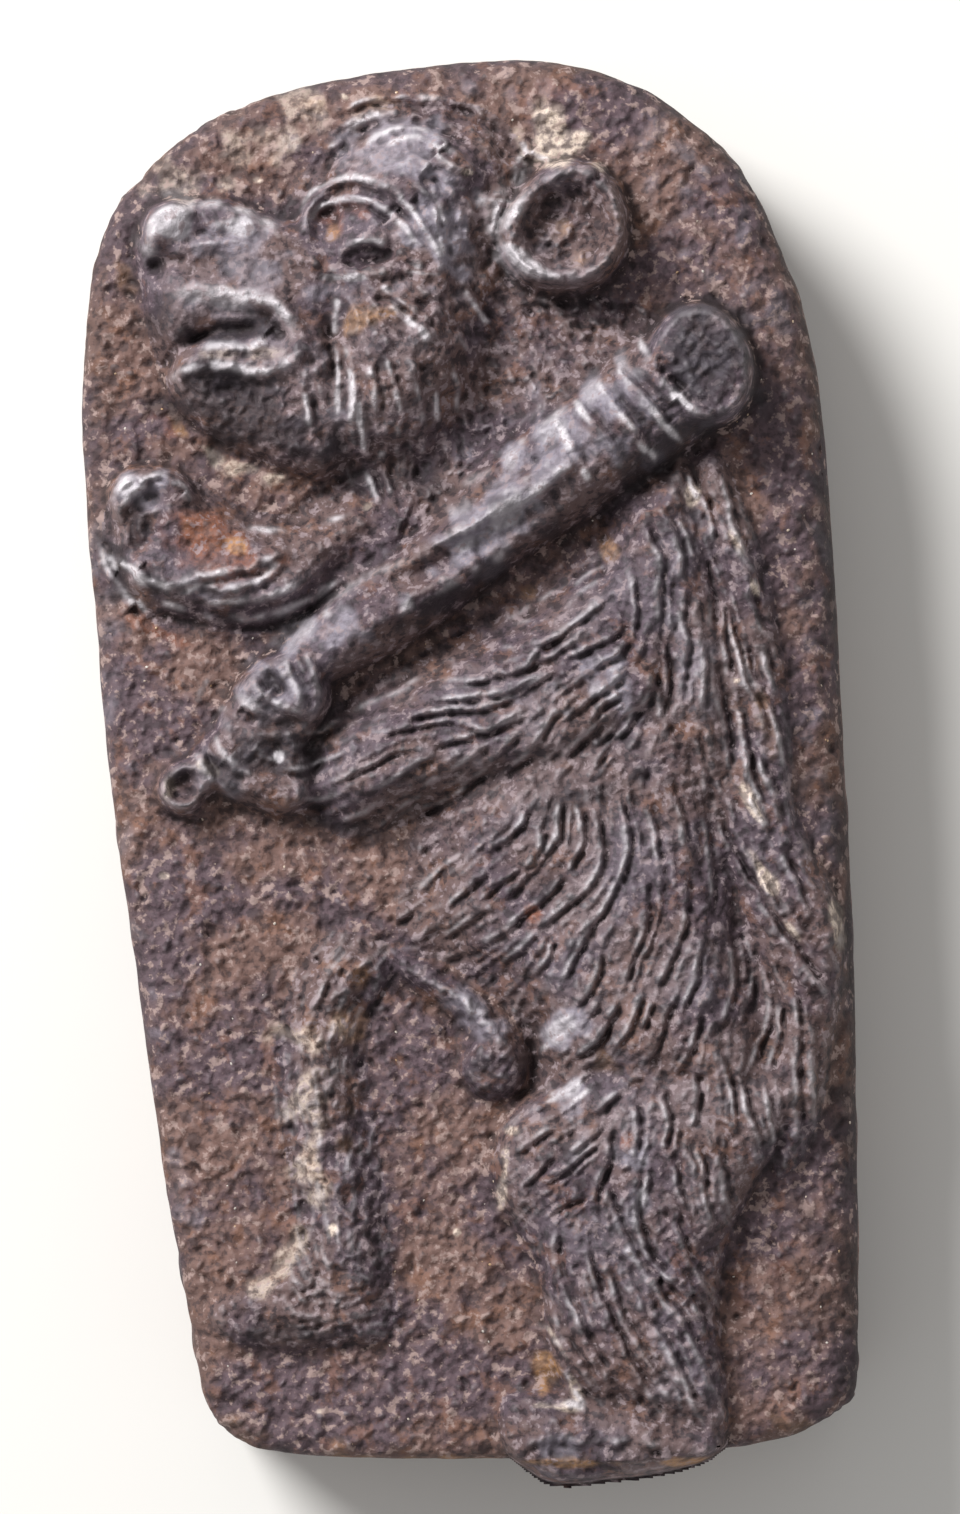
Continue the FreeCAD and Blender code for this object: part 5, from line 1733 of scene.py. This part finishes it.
def plate_object(name: str, plate: Plate, carving: Carving, material: bpy.types.Material) -> bpy.types.Object:
    """Makes an object of a plate, with the face's own normals and its stains and painted light and shade as
    attributes.

    Args:
        name: the piece's name.
        plate: the plate.
        carving: the carved face that it comes from.
        material: its stone.

    Returns:
        The object, linked to the scene.
    """
    mesh = bpy.data.meshes.new(name)
    mesh.vertices.add(len(plate.places))
    mesh.vertices.foreach_set("co", plate.places.astype(np.float32).ravel())
    mesh.loops.add(len(plate.loops))
    mesh.loops.foreach_set("vertex_index", plate.loops.astype(np.int32))
    mesh.polygons.add(len(plate.starts))
    mesh.polygons.foreach_set("loop_start", plate.starts.astype(np.int32))
    smooth = np.arange(len(plate.starts)) < plate.top_faces
    mesh.polygons.foreach_set("use_smooth", smooth)
    mesh.update(calc_edges=True)
    add_tints(mesh, {tint: values.ravel()[plate.corners] for tint, values in carving.tints.items()})
    top_loops = plate.loops[: plate.top_faces * 3]
    normals = np.zeros((len(plate.loops), 3))
    normals[: len(top_loops)] = carving.normals().reshape(-1, 3)[plate.corners[top_loops]]
    mesh.normals_split_custom_set(normals.tolist())
    mesh.materials.append(material)
    return added(name, mesh)


def add_tints(mesh: bpy.types.Mesh, tints: dict[Tint, np.ndarray]) -> None:
    """Writes the layers of stain and painted light and shade on a mesh as attributes of its vertices."""
    for tint, values in tints.items():
        layer = mesh.attributes.new(tint.value, "FLOAT", "POINT")
        layer.data.foreach_set("value", values.astype(np.float32))


def added(name: str, data: bpy.types.ID) -> bpy.types.Object:
    """A new object that holds a mesh, a camera or a lamp, linked to the scene."""
    item = bpy.data.objects.new(name, data)
    bpy.context.scene.collection.objects.link(item)
    return item


def claim(piece: bpy.types.Object, node: str) -> None:
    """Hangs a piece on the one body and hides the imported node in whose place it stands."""
    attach(piece, ROOT)
    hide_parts(node)


def linear(colour: Colour) -> tuple[float, float, float, float]:
    """A screen colour of 0 to 255 as the light values that a material takes."""
    shares = [value / 255 for value in colour]
    light = [share / 12.92 if share <= 0.04045 else ((share + 0.055) / 1.055) ** 2.4 for share in shares]
    return (light[0], light[1], light[2], 1.0)


class NodeMaker:
    """Adds nodes to one node tree."""

    def __init__(self, tree: bpy.types.NodeTree) -> None:
        """Keeps the tree that gets the nodes."""
        self.tree = tree

    def add(self, kind: str, settings: dict[str, object], inputs: dict[str | int, object]) -> bpy.types.Node:
        """Adds a node.

        Args:
            kind: the node's type.
            settings: the properties to set first.
            inputs: a value, a socket or a number for each named or numbered input.

        Returns:
            The node.
        """
        node = self.tree.nodes.new(kind)
        for name, value in settings.items():
            setattr(node, name, value)
        for key, value in inputs.items():
            if isinstance(value, Shade):
                value = value.socket
            if isinstance(value, bpy.types.NodeSocket):
                self.tree.links.new(value, node.inputs[key])
            else:
                node.inputs[key].default_value = value
        return node

    def number(self, socket: bpy.types.NodeSocket) -> "Shade":
        """A socket as a number on which sums can be written."""
        return Shade(self, socket)

    def mix(self, share: object, first: object, second: object) -> bpy.types.NodeSocket:
        """A colour between two colours, by a share."""
        settings = {"data_type": "RGBA", "clamp_factor": True}
        return self.add("ShaderNodeMix", settings, {0: share, 6: first, 7: second}).outputs[2]


class Shade:
    """A number inside a material or a geometry tree, on which sums can be written."""

    def __init__(self, maker: NodeMaker, socket: bpy.types.NodeSocket) -> None:
        """Wraps a socket."""
        self.maker = maker
        self.socket = socket

    def worked(self, operation: str, first: object, second: object = 0.0) -> "Shade":
        """The result of one Math node."""
        node = self.maker.add("ShaderNodeMath", {"operation": operation}, {0: first, 1: second})
        return Shade(self.maker, node.outputs[0])

    def __add__(self, other: object) -> "Shade":
        """Self plus other."""
        return self.worked("ADD", self, other)

    def __radd__(self, other: object) -> "Shade":
        """Other plus self."""
        return self.worked("ADD", other, self)

    def __sub__(self, other: object) -> "Shade":
        """Self minus other."""
        return self.worked("SUBTRACT", self, other)

    def __rsub__(self, other: object) -> "Shade":
        """Other minus self."""
        return self.worked("SUBTRACT", other, self)

    def __mul__(self, other: object) -> "Shade":
        """Self times other."""
        return self.worked("MULTIPLY", self, other)

    def __rmul__(self, other: object) -> "Shade":
        """Other times self."""
        return self.worked("MULTIPLY", other, self)

    def over(self, low: float, high: float) -> "Shade":
        """How far the number has come from low to high, eased, from 0 to 1."""
        settings = {"interpolation_type": "SMOOTHSTEP"}
        node = self.maker.add("ShaderNodeMapRange", settings, {0: self, 1: low, 2: high, 3: 0.0, 4: 1.0})
        return Shade(self.maker, node.outputs[0])


def bare_material(name: str) -> tuple[bpy.types.Material, NodeMaker]:
    """A new material without nodes.

    Args:
        name: the material's name.

    Returns:
        The material, and the maker of its nodes.
    """
    material = bpy.data.materials.new(name)
    material.use_nodes = True
    material.node_tree.nodes.clear()
    return material, NodeMaker(material.node_tree)


@dataclass(frozen=True)
class StoneFinish:
    """The dark fine-grained stone: its colours, and how its flakes, stains, wear and painted light and shade show."""

    name: str
    brown: Colour
    violet: Colour
    pale_flake: Colour
    rust_share: float
    dark_share: float
    dark_flake: Colour = (44, 35, 39)
    rust_flake: Colour = (132, 90, 66)
    tint_colours: tuple[tuple[Tint, Colour, float, float], ...] = (
        # Grey tone with painted sheen
        (Tint.GRAPHITE, (138, 132, 143), 0.88, 0.35),
        (Tint.RUST, (132, 80, 56), 0.80, 0.65),
        (Tint.OCHRE, (172, 130, 90), 0.95, 0.55),
        (Tint.LIME, (216, 198, 182), 1.00, 0.74),
        # Dark stain, and mostly painted shade
        (Tint.DARK, (34, 27, 32), 0.85, 0.25),
        # Pale crests: part wear, part painted highlight
        (Tint.CREST, (206, 200, 204), 0.90, 0.30),
        # Painted shade in hollows
        (Tint.CAVITY, (34, 26, 28), 0.85, 0.15),
    )
    pale_share: float = 0.75
    roughness: float = 0.78
    bump: float = 0.70

    def material(self) -> bpy.types.Material:
        """The stone as a material.

        Returns:
            The material, made only of nodes.
        """
        material, maker = bare_material(self.name)
        place = maker.add("ShaderNodeTexCoord", {}, {}).outputs["Object"]
        scaled = maker.add("ShaderNodeVectorMath", {"operation": "SCALE"}, {0: place, "Scale": 1 / MM})
        millimetres = scaled.outputs[0]
        cloud = self.noise(maker, millimetres, 0.22, 6.0)
        rust = self.noise(maker, millimetres, 0.7, 5.0)
        flake = self.noise(maker, millimetres, 1.9, 3.0)
        speck = self.noise(maker, millimetres, 5.5, 2.0)
        # The layers of stain, painted highlight, painted sheen and painted shade, read from the attributes
        stains = {
            tint: maker.number(maker.add("ShaderNodeAttribute", {"attribute_name": tint.value}, {}).outputs["Fac"])
            for tint in Tint
        }
        colour = maker.mix(cloud.over(0.42, 0.56), linear(self.violet), linear(self.brown))
        colour = maker.mix(rust.over(0.54, 0.64) * self.rust_share, colour, linear(self.rust_flake))
        colour = maker.mix((1.0 - flake).over(0.52, 0.62) * self.dark_share, colour, linear(self.dark_flake))
        grain = flake.over(0.42, 0.58)
        for tint, tint_colour, share, speckle in self.tint_colours:
            broken = stains[tint] * (1.0 - speckle + grain * speckle) * share
            colour = maker.mix(broken, colour, linear(tint_colour))
        pale = (flake * 0.85 + speck * 0.15).over(0.54, 0.62) * self.pale_share * (1.0 - stains[Tint.DARK] * 0.8)
        colour = maker.mix(pale, colour, linear(self.pale_flake))
        rough = self.roughness - stains[Tint.CREST] * 0.12 - stains[Tint.GRAPHITE] * 0.10 + (speck - 0.5) * 0.25
        relief = flake * 0.6 + speck * 0.4
        bump = maker.add("ShaderNodeBump", {}, {"Strength": self.bump, "Distance": 0.00015, "Height": relief})
        inputs = {"Base Color": colour, "Roughness": rough, "Normal": bump.outputs[0], "Specular IOR Level": 0.38}
        shader = maker.add("ShaderNodeBsdfPrincipled", {}, inputs)
        maker.add("ShaderNodeOutputMaterial", {}, {"Surface": shader.outputs[0]})
        return material

    def noise(self, maker: NodeMaker, place: bpy.types.NodeSocket, scale: float, detail: float) -> Shade:
        """Noise of a number of features to the millimetre, from 0 to 1."""
        inputs = {"Vector": place, "Scale": scale, "Detail": detail, "Roughness": 0.62}
        node = maker.add("ShaderNodeTexNoise", {}, inputs)
        return maker.number(node.outputs[0])


@dataclass
class Block:
    """The slab itself: the rounded body of the stone and the flat of its face."""

    slab: Slab
    depth_mm: float = 1.2
    most_cells: int = 60000

    def body(self, carving: Carving, material: bpy.types.Material) -> bpy.types.Object:
        """The body under the face, with its rounded rims, its sides and its back.

        Args:
            carving: the carved face, whose grain the walls share.
            material: the stone's finish.

        Returns:
            The body as one closed piece.
        """
        places, faces = self.slab.body_mesh(carving.grid, carving.detail)
        mesh = bpy.data.meshes.new("slab_block")
        mesh.from_pydata(places.tolist(), [], faces)
        mesh.polygons.foreach_set("use_smooth", np.array([len(face) == 4 for face in faces]))
        spots = np.stack([places[:, 0], -places[:, 1]], 1) / MM * PX_PER_MM + np.array(CENTRE_PX)
        # The face's stains and its painted light and shade reach a little way over the rims
        near_face = smoothstep((places[:, 2] - face_level() + 2.4 * MM) / (1.2 * MM))
        add_tints(mesh, {
            tint: carving.grid.sample(values, spots) * near_face for tint, values in carving.tints.items()
        })
        mesh.materials.append(material)
        return added("slab_block", mesh)

    def face(self, carving: Carving, cells: np.ndarray, material: bpy.types.Material) -> list[bpy.types.Object]:
        """The flat of the face, in bands that each stay light enough.

        Args:
            carving: the carved face.
            cells: the label of each cell.
            material: its stone.

        Returns:
            The bands from top to bottom.
        """
        flat = cells == FACE
        total = np.cumsum(flat.sum(1))
        bands = math.ceil(total[-1] / self.most_cells)
        band = np.minimum((total - 1) * bands // total[-1], bands - 1)
        pieces = []
        for index in range(bands):
            plate = cut_plate(carving, flat & (band == index)[:, None], self.depth_mm)
            pieces.append(plate_object(f"slab_face_{index + 1}", plate, carving, material))
        return pieces


@dataclass
class Grains:
    """The pale mica grains that glint in the stone."""

    density: float = 120000.0
    size_mm: float = 0.05
    flatness: float = 0.45
    seed: int = 17
    colour: Colour = (186, 178, 170)
    roughness: float = 0.32

    def tree(self) -> tuple[bpy.types.NodeTree, dict[str, str]]:
        """The geometry tree that scatters the grains.

        Returns:
            The tree, and the identifier of each named input.
        """
        tree = bpy.data.node_groups.new("mica_grains", "GeometryNodeTree")
        face = tree.interface
        face.new_socket("Geometry", in_out="INPUT", socket_type="NodeSocketGeometry")
        sockets = {
            "Density": face.new_socket("Density", in_out="INPUT", socket_type="NodeSocketFloat"),
            "Grain size": face.new_socket("Grain size", in_out="INPUT", socket_type="NodeSocketFloat"),
            "Flatness": face.new_socket("Flatness", in_out="INPUT", socket_type="NodeSocketFloat"),
            "Seed": face.new_socket("Seed", in_out="INPUT", socket_type="NodeSocketInt"),
            "Material": face.new_socket("Material", in_out="INPUT", socket_type="NodeSocketMaterial"),
        }
        face.new_socket("Geometry", in_out="OUTPUT", socket_type="NodeSocketGeometry")
        maker = NodeMaker(tree)
        given = maker.add("NodeGroupInput", {}, {})
        normal = maker.add("GeometryNodeInputNormal", {}, {})
        upward = maker.add("ShaderNodeSeparateXYZ", {}, {0: normal.outputs[0]}).outputs["Z"]
        top = maker.add("FunctionNodeCompare", {"operation": "GREATER_THAN"}, {0: upward, 1: 0.5})
        spread = maker.add("GeometryNodeDistributePointsOnFaces", {}, {
            "Mesh": given.outputs["Geometry"], "Selection": top.outputs[0], "Density": given.outputs["Density"],
            "Seed": given.outputs["Seed"],
        })
        chance = maker.add("FunctionNodeRandomValue", {"data_type": "FLOAT"}, {2: 0.5, 3: 1.5, "Seed": 3})
        width = maker.number(given.outputs["Grain size"]) * maker.number(chance.outputs[1])
        thickness = width * maker.number(given.outputs["Flatness"])
        sizes = maker.add("ShaderNodeCombineXYZ", {}, {"X": width, "Y": width * 0.8, "Z": thickness})
        ball = maker.add("GeometryNodeMeshIcoSphere", {}, {"Radius": 1.0, "Subdivisions": 1})
        placed = maker.add("GeometryNodeInstanceOnPoints", {}, {
            "Points": spread.outputs["Points"], "Instance": ball.outputs["Mesh"],
            "Rotation": spread.outputs["Rotation"], "Scale": sizes.outputs[0],
        })
        real = maker.add("GeometryNodeRealizeInstances", {}, {"Geometry": placed.outputs[0]})
        dressed = maker.add("GeometryNodeSetMaterial", {}, {
            "Geometry": real.outputs[0], "Material": given.outputs["Material"],
        })
        maker.add("NodeGroupOutput", {}, {0: dressed.outputs[0]})
        return tree, {name: socket.identifier for name, socket in sockets.items()}

    def material(self) -> bpy.types.Material:
        """The pale, slightly glossy mica, a little different from grain to grain."""
        material, maker = bare_material("mica")
        place = maker.add("ShaderNodeTexCoord", {}, {}).outputs["Object"]
        noise = maker.add("ShaderNodeTexNoise", {}, {"Vector": place, "Scale": 900.0, "Detail": 1.0})
        warm = tuple(int(value * share) for value, share in zip(self.colour, (0.95, 0.82, 0.66)))
        colour = maker.mix(maker.number(noise.outputs[0]).over(0.4, 0.6), linear(self.colour), linear(warm))
        shader = maker.add("ShaderNodeBsdfPrincipled", {}, {"Base Color": colour, "Roughness": self.roughness})
        maker.add("ShaderNodeOutputMaterial", {}, {"Surface": shader.outputs[0]})
        return material

    def scatter(self, name: str, source: bpy.types.Object) -> bpy.types.Object:
        """Scatters grains over one piece.

        Args:
            name: the name of the new piece.
            source: the piece that they lie in.

        Returns:
            The grains as a plain mesh.
        """
        material = self.material()
        tree, inputs = self.tree()
        carrier = added(name + "_carrier", source.data.copy())
        modifier = carrier.modifiers.new("grains", "NODES")
        modifier.node_group = tree
        modifier[inputs["Density"]] = self.density
        modifier[inputs["Grain size"]] = self.size_mm * MM
        modifier[inputs["Flatness"]] = self.flatness
        modifier[inputs["Seed"]] = self.seed
        modifier[inputs["Material"]] = material
        seen = carrier.evaluated_get(bpy.context.evaluated_depsgraph_get())
        mesh = bpy.data.meshes.new_from_object(seen)
        bpy.data.objects.remove(carrier)
        mesh.name = name
        return added(name, mesh)


@dataclass
class Studio:
    """The camera, the floor and the light."""

    view_height_mm: float = PHOTO_HEIGHT_PX / PX_PER_MM
    lens_mm: float = 200.0
    sensor_mm: float = 36.0
    floor_colour: Colour = (226, 224, 220)
    floor_reach: float = 1.2
    key_watts: float = 2.1
    key_from: tuple[float, float, float] = (-0.20, 0.20, 0.25)
    key_size: float = 0.16
    world_strength: float = 0.46

    def camera(self) -> None:
        """Sets the camera straight over the face, at the photograph's scale."""
        data = bpy.data.cameras.new("camera")
        data.lens = self.lens_mm
        data.sensor_fit = "VERTICAL"
        data.sensor_height = self.sensor_mm
        data.clip_start = 0.01
        camera = added("camera", data)
        middle = (np.array(PHOTO_CENTRE_PX) - np.array(CENTRE_PX)) / PX_PER_MM * MM
        distance = self.view_height_mm * MM * self.lens_mm / self.sensor_mm
        camera.location = (float(middle[0]), -float(middle[1]), face_level() + distance)
        bpy.context.scene.camera = camera

    def floor(self) -> None:
        """Lays the plain pale floor under the stone."""
        mesh = bpy.data.meshes.new("floor")
        corners = [(-1, -1), (1, -1), (1, 1), (-1, 1)]
        mesh.from_pydata([(self.floor_reach * x, self.floor_reach * y, 0) for x, y in corners], [], [(0, 1, 2, 3)])
        material = bpy.data.materials.new("floor")
        material.use_nodes = True
        shader = material.node_tree.nodes["Principled BSDF"]
        shader.inputs["Base Color"].default_value = linear(self.floor_colour)
        shader.inputs["Roughness"].default_value = 0.9
        mesh.materials.append(material)
        floor = added("floor", mesh)

    def lights(self) -> None:
        """Sets one soft lamp at the upper left and an even pale world."""
        data = bpy.data.lights.new("key", "AREA")
        data.shape = "DISK"
        data.size = self.key_size
        data.energy = self.key_watts
        lamp = added("key", data)
        lamp.location = self.key_from
        lamp.rotation_euler = (-Vector(self.key_from)).to_track_quat("-Z", "Y").to_euler()
        world = bpy.data.worlds.new("studio")
        world.use_nodes = True
        background = world.node_tree.nodes["Background"]
        background.inputs["Color"].default_value = (1.0, 1.0, 1.0, 1.0)
        background.inputs["Strength"].default_value = self.world_strength
        bpy.context.scene.world = world


def build_matrix() -> None:
    """Builds the seal matrix: the block, the flat of its face, every carved form and the mica grains."""
    slab = Slab()
    groups = [Ground(), Head(), Arms(), Club(), Trunk(), Legs()]
    carving = Carving(slab, groups, CELL_PX)
    carving.carve()
    LOG.info("carved a field of %d by %d corners", carving.grid.rows, carving.grid.columns)
    ground_stone = StoneFinish("ground_stone", (113, 87, 80), (90, 73, 79), (156, 134, 128), 0.40, 0.60).material()
    relief_stone = StoneFinish("relief_stone", (98, 78, 76), (80, 66, 74), (144, 128, 131), 0.35, 0.80).material()
    cells = carving.cells()
    block = Block(slab)
    flats = block.face(carving, cells, ground_stone)
    for piece in [block.body(carving, ground_stone)] + flats:
        claim(piece, "slab")
        LOG.info("%s: %d faces", piece.name, len(piece.data.polygons))
    grains = Grains()
    for index, flat in enumerate(flats, 1):
        piece = grains.scatter(f"mica_{index}", flat)
        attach(piece, ROOT)
        LOG.info("%s: %d faces", piece.name, len(piece.data.polygons))
    for label, node in enumerate(DRAW_ORDER, 1):
        depth_mm = slab.overhang_mm + slab.overrun_mm if node == OVERHANGING else block.depth_mm
        plate = cut_plate(carving, cells == label, depth_mm)
        piece = plate_object(node + "_carved", plate, carving, relief_stone)
        claim(piece, node)
        LOG.info("%s: %d faces", piece.name, len(piece.data.polygons))


def main() -> None:
    """Builds the part and its studio."""
    logging.basicConfig(level=logging.INFO, format="%(name)s: %(message)s")
    bpy.context.scene.view_settings.view_transform = "Standard"
    build_matrix()
    studio = Studio()
    studio.camera()
    studio.floor()
    studio.lights()


if __name__ == "__main__":
    main()
